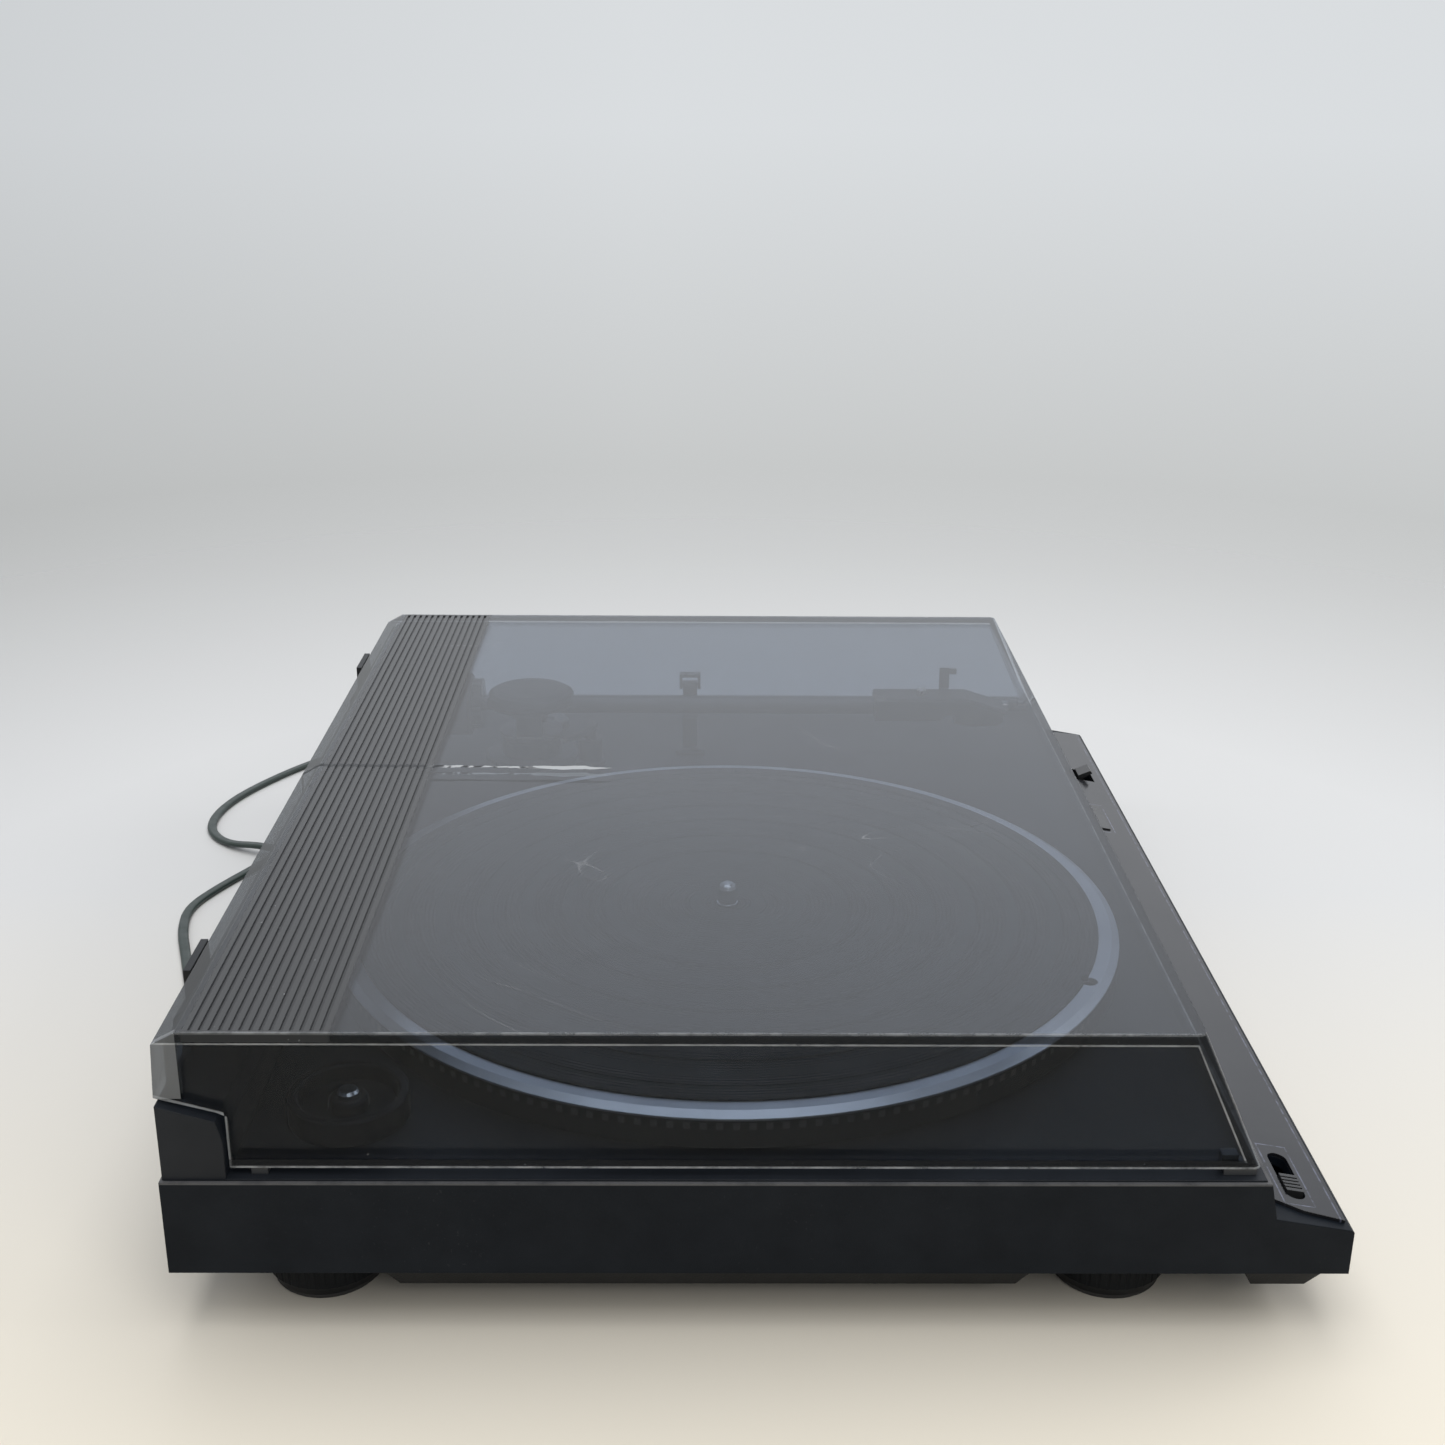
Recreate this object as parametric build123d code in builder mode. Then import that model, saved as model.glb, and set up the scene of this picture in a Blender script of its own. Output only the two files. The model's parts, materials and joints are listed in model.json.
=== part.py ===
from build123d import *
import math
import os

# Belt-drive turntable record player with a hinged, smoke-tinted dust cover.
# Millimetres. x runs left to right, y front (-) to rear (+), z up from the table top.
# The origin is on the table, under the middle of the cabinet.

os.makedirs("parts", exist_ok=True)

# ---- driving dimensions -------------------------------------------------------------
# cabinet
CABINET_W = 430.0
HALF_W = CABINET_W / 2
FRONT_Y = -183.5
REAR_Y = 178.0
FRAME_BOTTOM_Z = 20.5
FRAME_TOP_Z = 52.7
DECK_TOP_Z = 53.2
DECK_T = 2.8
WALL = 3.0
LEDGE_FRONT = (-182.7, 36.1)
LEDGE_REAR = (-159.2, 40.2)
STEP_TOP_Y = -156.6
FASCIA_T = 1.1
RUN_GAP = 0.05
SCREW_R = 1.9
PAN_TOP_Z = 24.0

# dust cover and its hinges
COVER_HALF_W = 211.3
COVER_TOP_Z = 101.7
COVER_BOTTOM_Z = 55.6
COVER_T = 3.0
COVER_REAR_Y = 178.0
HINGE_Y = 179.9
HINGE_Z = 81.0
HINGE_R = 3.6
HINGE_X = 152.0
RIB_PITCH = 2.97
RIB_COUNT = 14

# platter
PLATTER_X, PLATTER_Y = -51.9, 6.1
PLATTER_R = 147.0
RING_Z = 66.4
MAT_R = 139.2
MAT_FLOOR_Z = 64.9
BELT_RIB_R = 81.0
SPINDLE_R = 3.6
SPINDLE_SHAFT_R = 4.0
SHAFT_TOP_Z = 67.5
SPINDLE_TOP_Z = 75.6
PLATTER_UNDER_Z = 61.4

# motor and belt: one turn of the platter is 13.5 turns of the pulley
PULLEY_R = BELT_RIB_R / 13.5
MOTOR_OFFSET = 112.0
MOTOR_X = PLATTER_X + MOTOR_OFFSET * math.cos(math.radians(225))
MOTOR_Y = PLATTER_Y + MOTOR_OFFSET * math.sin(math.radians(225))

# return gear
GEAR_MODULE = 1.0
PINION_TEETH = 19
GEAR_TEETH = 58
GEAR_OFFSET = 38.7
GEAR_ANGLE = 40.0
GEAR_X = PLATTER_X + GEAR_OFFSET * math.cos(math.radians(GEAR_ANGLE))
GEAR_Y = PLATTER_Y + GEAR_OFFSET * math.sin(math.radians(GEAR_ANGLE))

# tonearm, parallel to the right side when parked
ARM_X, ARM_Y, ARM_Z = 138.5, 98.0, 79.5
ARM_TUBE_R = 4.3
HEADSHELL_REAR_Y = -66.0
HEADSHELL_FRONT_Y = -128.5
STYLUS_Y = -122.0
REST_Y = 22.0
CUE_X, CUE_Y = 129.5, 69.5

# feet, one near each corner
FOOT_R = 20.0
FOOT_POSITIONS = {
    "front_left": (-183.7, -116.0),
    "front_right": (183.7, -116.0),
    "rear_left": (-183.7, 136.1),
    "rear_right": (183.7, 136.1),
}

# small parts on the deck
ADAPTOR_X, ADAPTOR_Y = -178.5, 127.5
DIAL_X, DIAL_Y = 178.0, 92.0

# controls on the fascia
SELECTOR_X, SELECTOR_Y = -196.0, -169.0
STOP_X, STOP_Y = 95.3, -168.5
CUE_LEVER_X, CUE_LEVER_Y = 149.6, -170.0

# mains lead: a flat twin, drawn as a round tube of the same width
CORD_D = 4.6
CORD_X, CORD_Z = -30.0, 31.5
COIL_X, COIL_Y = 257.0, 146.0
COIL_MID_R = 27.6
CORD_FLOOR_Z = CORD_D / 2 + 0.1


def write(builder, node):
    """Label a finished piece and write it as its own STEP file."""
    builder.part.label = node
    export_step(builder.part, f"parts/{node}.step")
    print(f"{node}: {len(builder.part.solids())} solid(s)")


def side_plane(x=0.0):
    """Plane across the cabinet: its sketch axes are world y and z."""
    return Plane(origin=(x, 0, 0), x_dir=(0, 1, 0), z_dir=(1, 0, 0))


def turning_plane(x, y):
    """Upright plane through a vertical axis: sketch x is the radius, sketch y is height."""
    return Plane(origin=(x, y, 0), x_dir=(1, 0, 0), z_dir=(0, -1, 0))


def polygon(points):
    """Closed outline through the given points, as a face of the open sketch."""
    with BuildLine() as outline:
        Polyline(*points, close=True)
    make_face(outline.edges())


def turned(points, x, y):
    """Revolve a radius-height outline about the vertical axis through (x, y)."""
    with BuildSketch(turning_plane(x, y)) as outline:
        polygon(points)
    revolve(outline.sketch, axis=Axis((x, y, 0), (0, 0, 1)))


def bar(x0, x1, y0, y1, z0, z1, mode=Mode.ADD):
    """Box between two corners."""
    with Locations(((x0 + x1) / 2, (y0 + y1) / 2, (z0 + z1) / 2)):
        Box(abs(x1 - x0), abs(y1 - y0), abs(z1 - z0), mode=mode)


def post(x, y, z0, z1, radius, mode=Mode.ADD):
    """Upright cylinder between two heights."""
    with Locations((x, y, (z0 + z1) / 2)):
        Cylinder(radius, z1 - z0, mode=mode)


def rod_x(x0, x1, y, z, radius, mode=Mode.ADD):
    """Cylinder lying across the cabinet."""
    with Locations(Location(((x0 + x1) / 2, y, z), (0, 90, 0))):
        Cylinder(radius, abs(x1 - x0), mode=mode)


def rod_y(x, y0, y1, z, radius, mode=Mode.ADD):
    """Cylinder lying front to rear."""
    with Locations(Location((x, (y0 + y1) / 2, z), (90, 0, 0))):
        Cylinder(radius, abs(y1 - y0), mode=mode)


# The fascia lies on the sloped ledge. Sketches on its plane use x and distance up the slope.
SLOPE = math.atan2(LEDGE_REAR[1] - LEDGE_FRONT[1], LEDGE_REAR[0] - LEDGE_FRONT[0])
FASCIA_MID_Y = (LEDGE_FRONT[0] + LEDGE_REAR[0]) / 2
LEDGE_MID_Z = (LEDGE_FRONT[1] + LEDGE_REAR[1]) / 2
FASCIA_PLANE = Plane(
    origin=(0, FASCIA_MID_Y, LEDGE_MID_Z),
    x_dir=(1, 0, 0),
    z_dir=(0, -math.sin(SLOPE), math.cos(SLOPE)),
)


def up_slope(y):
    """Distance up the ledge from its middle for a given y."""
    return (y - FASCIA_MID_Y) / math.cos(SLOPE)


def fascia_slots():
    """Openings for the selector, the bar button and the cue lever."""
    with Locations((SELECTOR_X + 5, up_slope(SELECTOR_Y))):
        SlotOverall(25, 6.4)
    with Locations((STOP_X, up_slope(STOP_Y))):
        Rectangle(27.4, 5.0)
    with Locations((CUE_LEVER_X, up_slope(CUE_LEVER_Y))):
        Rectangle(13.4, 12.0)


# ---- cabinet ------------------------------------------------------------------------
with BuildPart() as plinth_frame:
    with BuildSketch(side_plane()):
        polygon([
            (FRONT_Y, FRAME_BOTTOM_Z),
            (FRONT_Y, LEDGE_FRONT[1] - 0.7),
            LEDGE_FRONT,
            LEDGE_REAR,
            (STEP_TOP_Y, FRAME_TOP_Z),
            (REAR_Y, FRAME_TOP_Z),
            (REAR_Y, FRAME_BOTTOM_Z),
        ])
    extrude(amount=HALF_W, both=True)
    with BuildSketch(side_plane()):
        polygon([
            (FRONT_Y + WALL, FRAME_BOTTOM_Z - 1),
            (FRONT_Y + WALL, LEDGE_FRONT[1] - WALL),
            (LEDGE_REAR[0] + 2, LEDGE_REAR[1] - WALL),
            (STEP_TOP_Y + WALL, FRAME_TOP_Z - DECK_T),
            (STEP_TOP_Y + WALL, FRAME_TOP_Z + 1),
            (REAR_Y - WALL, FRAME_TOP_Z + 1),
            (REAR_Y - WALL, FRAME_BOTTOM_Z - 1),
        ])
    extrude(amount=HALF_W - WALL, both=True, mode=Mode.SUBTRACT)
    # rebate that the deck drops into
    bar(-HALF_W + 1.2, HALF_W - 1.2, STEP_TOP_Y + 1.2, REAR_Y - 1.2,
        DECK_TOP_Z - DECK_T, DECK_TOP_Z + 5, Mode.SUBTRACT)
    with BuildSketch(FASCIA_PLANE):
        fascia_slots()
    extrude(amount=6, both=True, mode=Mode.SUBTRACT)
    # bosses that the foot screws bite into, each on a web from the side wall
    for x, y in FOOT_POSITIONS.values():
        side = math.copysign(1, x)
        post(x, y, PAN_TOP_Z + 0.05, DECK_TOP_Z - DECK_T, 5.0)
        bar(x, side * (HALF_W - 1), y - 1.5, y + 1.5, PAN_TOP_Z + 0.05, DECK_TOP_Z - DECK_T)
        post(x, y, PAN_TOP_Z - 1, PAN_TOP_Z + 14, SCREW_R, Mode.SUBTRACT)
    # rear wall: window for the sockets and hole for the mains lead's gland
    bar(92, 148, REAR_Y - 5, REAR_Y + 1, 26, 46, Mode.SUBTRACT)
    rod_y(CORD_X, REAR_Y - 5, REAR_Y + 1, CORD_Z, 5.0, Mode.SUBTRACT)
write(plinth_frame, "plinth_frame")

# return link: a slotted bar that slides on two pins under the deck
LINK_Z = 46.8
LINK_PINS = (40.0, 115.0)
LINK_TURN = math.atan2(ARM_Y - GEAR_Y, ARM_X - GEAR_X)
LINK_PLANE = Plane(
    origin=(GEAR_X, GEAR_Y, LINK_Z),
    x_dir=(math.cos(LINK_TURN), math.sin(LINK_TURN), 0),
    z_dir=(0, 0, 1),
)

SHOULDER_INNER_X = 130.0
DECK_HALF_W = HALF_W - 1.3
DECK_FRONT_Y = STEP_TOP_Y + 1.3
DECK_REAR_Y = REAR_Y - 1.3
SHOULDER_FRONT_Y = 158.0
HINGE_HALF_GAP = 18.0

with BuildPart() as top_deck:
    bar(-DECK_HALF_W, DECK_HALF_W, DECK_FRONT_Y, DECK_REAR_Y, DECK_TOP_Z - DECK_T, DECK_TOP_Z)
    for side in (-1, 1):
        with BuildSketch(side_plane(side * SHOULDER_INNER_X)):
            polygon([
                (SHOULDER_FRONT_Y, DECK_TOP_Z - 1),
                (SHOULDER_FRONT_Y, 66.0),
                (SHOULDER_FRONT_Y + 1.7, 73.0),
                (DECK_REAR_Y + 0.5, 78.2),
                (DECK_REAR_Y + 0.5, FRAME_TOP_Z + 0.1),
                (DECK_REAR_Y, FRAME_TOP_Z + 0.1),
                (DECK_REAR_Y, DECK_TOP_Z - 1),
            ])
        extrude(amount=side * (DECK_HALF_W - SHOULDER_INNER_X))
        with BuildSketch(side_plane(side * (SHOULDER_INNER_X + 2.5))):
            polygon([
                (SHOULDER_FRONT_Y + 2.5, DECK_TOP_Z - DECK_T - 1),
                (SHOULDER_FRONT_Y + 2.5, 65.6),
                (SHOULDER_FRONT_Y + 4.4, 71.2),
                (DECK_REAR_Y - 2.2, 75.0),
                (DECK_REAR_Y - 2.2, DECK_TOP_Z - DECK_T - 1),
            ])
        extrude(amount=side * (DECK_HALF_W - SHOULDER_INNER_X - 5), mode=Mode.SUBTRACT)
        # seat of the hinge bracket
        bar(side * (HINGE_X - HINGE_HALF_GAP), side * (HINGE_X + HINGE_HALF_GAP),
            171.5, REAR_Y + 1, 68.0, 80.0, Mode.SUBTRACT)
    # return gear's post and the anti-skate dial's post
    post(GEAR_X, GEAR_Y, DECK_TOP_Z - 1, 60.2, 2.5)
    post(DIAL_X, DIAL_Y, DECK_TOP_Z - 1, 57.5, 2.0)
    # ring that centres the record adaptor's peg
    post(ADAPTOR_X, ADAPTOR_Y, DECK_TOP_Z - 1, DECK_TOP_Z + 0.6, 9.0)
    with BuildSketch(LINK_PLANE.offset(-0.8)):
        with Locations(*[(along, 0) for along in LINK_PINS]):
            Circle(1.7)
    extrude(amount=DECK_TOP_Z - DECK_T - LINK_Z + 1.5)
    # through holes: bearing, motor boss, tonearm stem, adaptor peg
    post(PLATTER_X, PLATTER_Y, 45, 60, 8.3, Mode.SUBTRACT)
    post(MOTOR_X, MOTOR_Y, 45, 60, 10.0, Mode.SUBTRACT)
    post(ARM_X, ARM_Y, 45, 60, 9.2, Mode.SUBTRACT)
    post(ADAPTOR_X, ADAPTOR_Y, 45, 60, 2.5, Mode.SUBTRACT)
    post(CUE_X, CUE_Y, 45, 60, 5.0, Mode.SUBTRACT)
write(top_deck, "top_deck")

with BuildPart() as fascia_strip:
    with BuildSketch(FASCIA_PLANE):
        polygon([(-211.5, -10.6), (211.5, -10.6), (209.5, 2.0), (205.0, 11.2), (-205.0, 11.2), (-209.5, 2.0)])
        with BuildSketch(FASCIA_PLANE, mode=Mode.SUBTRACT):
            fascia_slots()
    extrude(amount=FASCIA_T)
write(fascia_strip, "fascia_strip")

# base pan: a flange inside the frame and a tub that stands clear of the feet
PAN_BOTTOM_Z = 9.0
PAN_FLANGE_Z = 18.0
PAN_X = 211.6
PAN_FRONT_Y, PAN_REAR_Y = -180.0, 174.6
POCKET_X = 160.0


def tub_outline(inset):
    """Tub footprint: the pan's rectangle with a pocket cut out around each foot."""
    with BuildSketch(Plane.XY.offset(PAN_FLANGE_Z)) as footprint:
        bar_w = 2 * (PAN_X - 2 - inset)
        bar_y0, bar_y1 = PAN_FRONT_Y + 1 + inset, PAN_REAR_Y - 6 - inset
        with Locations((0, (bar_y0 + bar_y1) / 2)):
            Rectangle(bar_w, bar_y1 - bar_y0)
        for side in (-1, 1):
            for y0, y1 in ((-152.5, -88.0), (114.5, 185.0)):
                x0, x1 = POCKET_X - inset, PAN_X + 10
                with Locations((side * (x0 + x1) / 2, (y0 + y1) / 2)):
                    Rectangle(x1 - x0, y1 - y0 + 2 * inset, mode=Mode.SUBTRACT)
    return footprint.sketch


with BuildPart() as base_pan:
    bar(-PAN_X, PAN_X, PAN_FRONT_Y, PAN_REAR_Y, PAN_FLANGE_Z, PAN_TOP_Z)
    extrude(tub_outline(0), amount=-(PAN_FLANGE_Z - PAN_BOTTOM_Z), taper=28)
    extrude(tub_outline(2.4), amount=-(PAN_FLANGE_Z - PAN_BOTTOM_Z - 2.2), taper=28, mode=Mode.SUBTRACT)
    extrude(tub_outline(2.4), amount=PAN_TOP_Z - PAN_FLANGE_Z + 1, mode=Mode.SUBTRACT)
    # light the corner plates over the feet, leaving 2.6 mm
    for side in (-1, 1):
        for y0, y1 in ((-149.0, -91.0), (118.0, 172.0)):
            bar(side * (POCKET_X + 3), side * (PAN_X - 2.5), y0, y1,
                PAN_FLANGE_Z + 2.6, PAN_TOP_Z + 1, Mode.SUBTRACT)
    for x, y in FOOT_POSITIONS.values():
        post(x, y, PAN_FLANGE_Z - 1, PAN_TOP_Z, 2.1, Mode.SUBTRACT)
    # row of vent slots under the transformer
    with BuildSketch(Plane.XY.offset(PAN_BOTTOM_Z - 1)):
        with GridLocations(9, 0, 7, 1):
            SlotOverall(40, 3, rotation=90)
    extrude(amount=5, mode=Mode.SUBTRACT)
write(base_pan, "base_pan")

FOOT_TOP_Z = PAN_FLANGE_Z - 0.02
PAD_T = 2.0
for corner, (x, y) in FOOT_POSITIONS.items():
    with BuildPart() as foot:
        turned([
            (0, PAD_T), (FOOT_R - 2.2, PAD_T), (FOOT_R - 0.4, PAD_T + 3.5), (FOOT_R, FOOT_TOP_Z - 4),
            (FOOT_R, FOOT_TOP_Z), (0, FOOT_TOP_Z),
        ], x, y)
        post(x, y, PAD_T - 1, FOOT_TOP_Z + 1, 2.1, Mode.SUBTRACT)
        post(x, y, PAD_T - 1, PAD_T + 5, 4.5, Mode.SUBTRACT)
        with BuildSketch(Plane.XY.offset(PAD_T - 1)):
            with Locations((x, y)):
                with PolarLocations(FOOT_R + 0.35, 40):
                    Circle(0.9)
        extrude(amount=FOOT_TOP_Z - PAD_T, mode=Mode.SUBTRACT)
    write(foot, f"foot_{corner}")

with BuildPart() as foot_pads:
    for x, y in FOOT_POSITIONS.values():
        turned([(5.5, 0), (FOOT_R - 3.2, 0), (FOOT_R - 2.4, 0.8), (FOOT_R - 2.4, PAD_T), (5.5, PAD_T)], x, y)
write(foot_pads, "foot_pads")


def screw(x, y, z_head, z_tip, head_r=3.6):
    """Pan-head screw driven upwards, with a cross recess."""
    turned([(0, z_head), (head_r - 0.8, z_head), (head_r, z_head + 1.0), (head_r, z_head + 2.2),
            (SCREW_R, z_head + 2.2), (SCREW_R, z_tip - 1.5), (0, z_tip)], x, y)
    bar(x - 2, x + 2, y - 0.4, y + 0.4, z_head - 1, z_head + 1.2, Mode.SUBTRACT)
    bar(x - 0.4, x + 0.4, y - 2, y + 2, z_head - 1, z_head + 1.2, Mode.SUBTRACT)


with BuildPart() as foot_screws:
    for x, y in FOOT_POSITIONS.values():
        screw(x, y, PAD_T + 2.75, PAN_TOP_Z + 12)
write(foot_screws, "foot_screws")

# ---- dust cover ---------------------------------------------------------------------
FRONT_TOP_Y = -133.1
FRONT_BOTTOM_Y = -154.1
with BuildPart() as dust_cover:
    with BuildSketch(side_plane()):
        polygon([
            (COVER_REAR_Y, COVER_BOTTOM_Z),
            (COVER_REAR_Y, 79.3),
            (COVER_REAR_Y - 1.0, 97.6),
            (169.5, COVER_TOP_Z),
            (FRONT_TOP_Y, COVER_TOP_Z),
            (FRONT_BOTTOM_Y, COVER_BOTTOM_Z),
        ])
    extrude(amount=COVER_HALF_W, both=True)
    with BuildSketch(side_plane()):
        polygon([
            (COVER_REAR_Y - COVER_T, COVER_BOTTOM_Z - 1),
            (COVER_REAR_Y - COVER_T - 0.8, 95.8),
            (168.8, COVER_TOP_Z - COVER_T),
            (FRONT_TOP_Y + 2.0, COVER_TOP_Z - COVER_T),
            (FRONT_BOTTOM_Y + COVER_T * 1.1 - 0.45, COVER_BOTTOM_Z - 1),
        ])
    extrude(amount=COVER_HALF_W - COVER_T, both=True, mode=Mode.SUBTRACT)
    fillet(dust_cover.edges().filter_by_position(Axis.Y, FRONT_BOTTOM_Y - 1, FRONT_TOP_Y + 1)
           .filter_by(lambda e: abs(abs(e.center().X) - COVER_HALF_W) < 0.01 and e.length < 60), 2.4)
    for side in (-1, 1):
        # clear the deck's raised shoulders
        with BuildSketch(side_plane(side * (SHOULDER_INNER_X - 2))):
            polygon([
                (157.3, COVER_BOTTOM_Z - 2), (157.3, 73.6), (159.8, 74.8), (COVER_REAR_Y + 1, 80.0),
                (COVER_REAR_Y + 1, COVER_BOTTOM_Z - 2),
            ])
        extrude(amount=side * (COVER_HALF_W - SHOULDER_INNER_X + 4), mode=Mode.SUBTRACT)
        # notch over each hinge
        bar(side * (HINGE_X - HINGE_HALF_GAP), side * (HINGE_X + HINGE_HALF_GAP),
            COVER_REAR_Y - 6, COVER_REAR_Y + 1, 70.0, 85.6, Mode.SUBTRACT)
    # grooves between the fine ribs near the rear edge
    for i in range(RIB_COUNT):
        groove_y = 165.6 - i * RIB_PITCH
        bar(-COVER_HALF_W + 1.6, COVER_HALF_W - 1.6, groove_y - 0.6, groove_y + 0.6,
            COVER_TOP_Z - 0.6, COVER_TOP_Z + 1, Mode.SUBTRACT)
write(dust_cover, "dust_cover")

with BuildPart() as cover_bumpers:
    for side in (-1, 1):
        bar(side * 204.4, side * 208.1, -147.6, -142.6, DECK_TOP_Z + 0.05, 58.5)
        bar(side * 204.4, side * 211.0, -152.6, -142.6, DECK_TOP_Z + 0.05, COVER_BOTTOM_Z)
        bar(side * 208.4, side * 211.0, 146.0, 151.0, DECK_TOP_Z + 0.05, COVER_BOTTOM_Z)
write(cover_bumpers, "cover_bumpers")

KNUCKLE_HALF = 11.0
EAR_IN, EAR_OUT = 11.6, 17.2
PIN_R = 1.5
with BuildPart() as hinge_brackets:
    for side in (-1, 1):
        bar(side * (HINGE_X - EAR_OUT), side * (HINGE_X + EAR_OUT), 171.8, 181.4, 68.3, 76.9)
        for outer in (-1, 1):
            ear_a = side * HINGE_X + outer * EAR_IN
            ear_b = side * HINGE_X + outer * EAR_OUT
            rod_x(ear_a, ear_b, HINGE_Y, HINGE_Z, HINGE_R)
            bar(ear_a, ear_b, HINGE_Y - HINGE_R, HINGE_Y + HINGE_R, 75.0, HINGE_Z)
        rod_x(side * (HINGE_X - 20), side * (HINGE_X + 20), HINGE_Y, HINGE_Z, PIN_R, Mode.SUBTRACT)
write(hinge_brackets, "hinge_brackets")

with BuildPart() as hinge_pins:
    for side in (-1, 1):
        rod_x(side * (HINGE_X - EAR_OUT), side * (HINGE_X + EAR_OUT), HINGE_Y, HINGE_Z, PIN_R)
write(hinge_pins, "hinge_pins")

for side, name in ((-1, "left"), (1, "right")):
    with BuildPart() as hinge_leaf:
        centre = side * HINGE_X
        rod_x(centre - KNUCKLE_HALF, centre + KNUCKLE_HALF, HINGE_Y, HINGE_Z, HINGE_R - 0.1)
        bar(centre - KNUCKLE_HALF, centre + KNUCKLE_HALF, 178.2, 180.6, HINGE_Z, 96.4)
        bar(centre - KNUCKLE_HALF, centre + KNUCKLE_HALF, 171.4, 180.6, 82.4, 85.4)
        bar(side * (HINGE_X - 32), side * (HINGE_X + 23), 171.4, 173.9, 82.4, 94.5)
        for x_screw in (centre - 22, centre + 18):
            rod_y(x_screw, 170.0, 171.6, 89.5, 2.4)
        rod_x(centre - 20, centre + 20, HINGE_Y, HINGE_Z, PIN_R + RUN_GAP, Mode.SUBTRACT)
    write(hinge_leaf, f"hinge_leaf_{name}")

# ---- platter and bearing ------------------------------------------------------------
FINGER_HOLE_X = PLATTER_X + 140.4 * math.cos(math.radians(244.2))
FINGER_HOLE_Y = PLATTER_Y + 140.4 * math.sin(math.radians(244.2))
with BuildPart() as platter:
    turned([
        (SPINDLE_SHAFT_R, 60.2), (14, 60.2), (14, PLATTER_UNDER_Z), (BELT_RIB_R - 3, PLATTER_UNDER_Z),
        (BELT_RIB_R - 3, 55.2), (BELT_RIB_R, 55.2), (BELT_RIB_R, PLATTER_UNDER_Z),
        (PLATTER_R - 3.6, PLATTER_UNDER_Z), (PLATTER_R - 3.6, 54.6), (PLATTER_R, 54.6),
        (PLATTER_R, RING_Z - 1.5), (PLATTER_R - 2.8, RING_Z), (MAT_R + 0.2, RING_Z),
        (MAT_R + 0.2, MAT_FLOOR_Z), (SPINDLE_SHAFT_R, MAT_FLOOR_Z),
    ], PLATTER_X, PLATTER_Y)
    post(FINGER_HOLE_X, FINGER_HOLE_Y, 55, 70, 3.0, Mode.SUBTRACT)
write(platter, "platter")

MAT_BORE_R = SPINDLE_SHAFT_R + 0.4
MAT_RIDGES = (50.0, 66.0, 82.0, 98.0, 114.0, 129.0)
with BuildPart() as platter_mat:
    turned([(MAT_BORE_R, MAT_FLOOR_Z), (MAT_R, MAT_FLOOR_Z), (MAT_R, 67.0), (MAT_R - 0.4, 67.4),
            (MAT_R - 6, 67.4), (MAT_R - 6.4, 67.0), (MAT_BORE_R, 67.0)], PLATTER_X, PLATTER_Y)
    for radius in MAT_RIDGES:
        turned([(radius - 2.5, 66.5), (radius + 2.5, 66.5), (radius + 2.5, 67.2), (radius + 2.1, 67.4),
                (radius - 2.1, 67.4), (radius - 2.5, 67.2)], PLATTER_X, PLATTER_Y)
    post(FINGER_HOLE_X, FINGER_HOLE_Y, 55, 70, 3.0, Mode.SUBTRACT)
write(platter_mat, "platter_mat")

SPINDLE_BOTTOM_Z = 28.05
with BuildPart() as spindle:
    turned([(0, SPINDLE_BOTTOM_Z), (SPINDLE_SHAFT_R, SPINDLE_BOTTOM_Z), (SPINDLE_SHAFT_R, SHAFT_TOP_Z),
            (SPINDLE_R, SHAFT_TOP_Z), (SPINDLE_R, SPINDLE_TOP_Z - 2.2),
            (SPINDLE_R - 0.6, SPINDLE_TOP_Z - 0.9), (SPINDLE_R - 1.7, SPINDLE_TOP_Z - 0.2),
            (0, SPINDLE_TOP_Z)], PLATTER_X, PLATTER_Y)
write(spindle, "spindle")


def toothed_wheel(x, y, z0, z1, teeth, bore_r, skip_from=None, skip_to=None):
    """Spur wheel with straight-sided teeth; teeth between the two angles are left off."""
    pitch_r = GEAR_MODULE * teeth / 2
    root_r = pitch_r - 1.15 * GEAR_MODULE
    tip_r = pitch_r + 0.8 * GEAR_MODULE
    half = GEAR_MODULE * math.pi / 4
    with BuildSketch(Plane.XY.offset(z0)) as wheel:
        with Locations((x, y)):
            Circle(root_r)
        for i in range(teeth):
            angle = 360.0 * i / teeth
            if skip_from is not None and skip_from < angle < skip_to:
                continue
            turn = math.radians(angle)
            tooth = []
            for radius, side in ((root_r - 0.4, -1.25), (tip_r, -0.6), (tip_r, 0.6), (root_r - 0.4, 1.25)):
                offset = side * half
                tooth.append((x + radius * math.cos(turn) - offset * math.sin(turn),
                              y + radius * math.sin(turn) + offset * math.cos(turn)))
            polygon(tooth)
        with Locations((x, y)):
            Circle(bore_r, mode=Mode.SUBTRACT)
    extrude(wheel.sketch, amount=z1 - z0)


with BuildPart() as hub_pinion:
    toothed_wheel(PLATTER_X, PLATTER_Y, 55.0, 60.2, PINION_TEETH, SPINDLE_SHAFT_R)
write(hub_pinion, "hub_pinion")

with BuildPart() as return_gear:
    facing = GEAR_ANGLE + 180
    toothed_wheel(GEAR_X, GEAR_Y, 55.4, 59.2, GEAR_TEETH, 2.5 + RUN_GAP, facing - 30, facing + 30)
    with BuildSketch(Plane.XY.offset(55.4)):
        with Locations((GEAR_X, GEAR_Y)):
            with PolarLocations(16, 5):
                Circle(5)
    extrude(amount=5, mode=Mode.SUBTRACT)
    post(GEAR_X, GEAR_Y, 53.6, 60.0, 5.0)
    post(GEAR_X, GEAR_Y, 53.0, 61.0, 2.5 + RUN_GAP, Mode.SUBTRACT)
write(return_gear, "return_gear")

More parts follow.
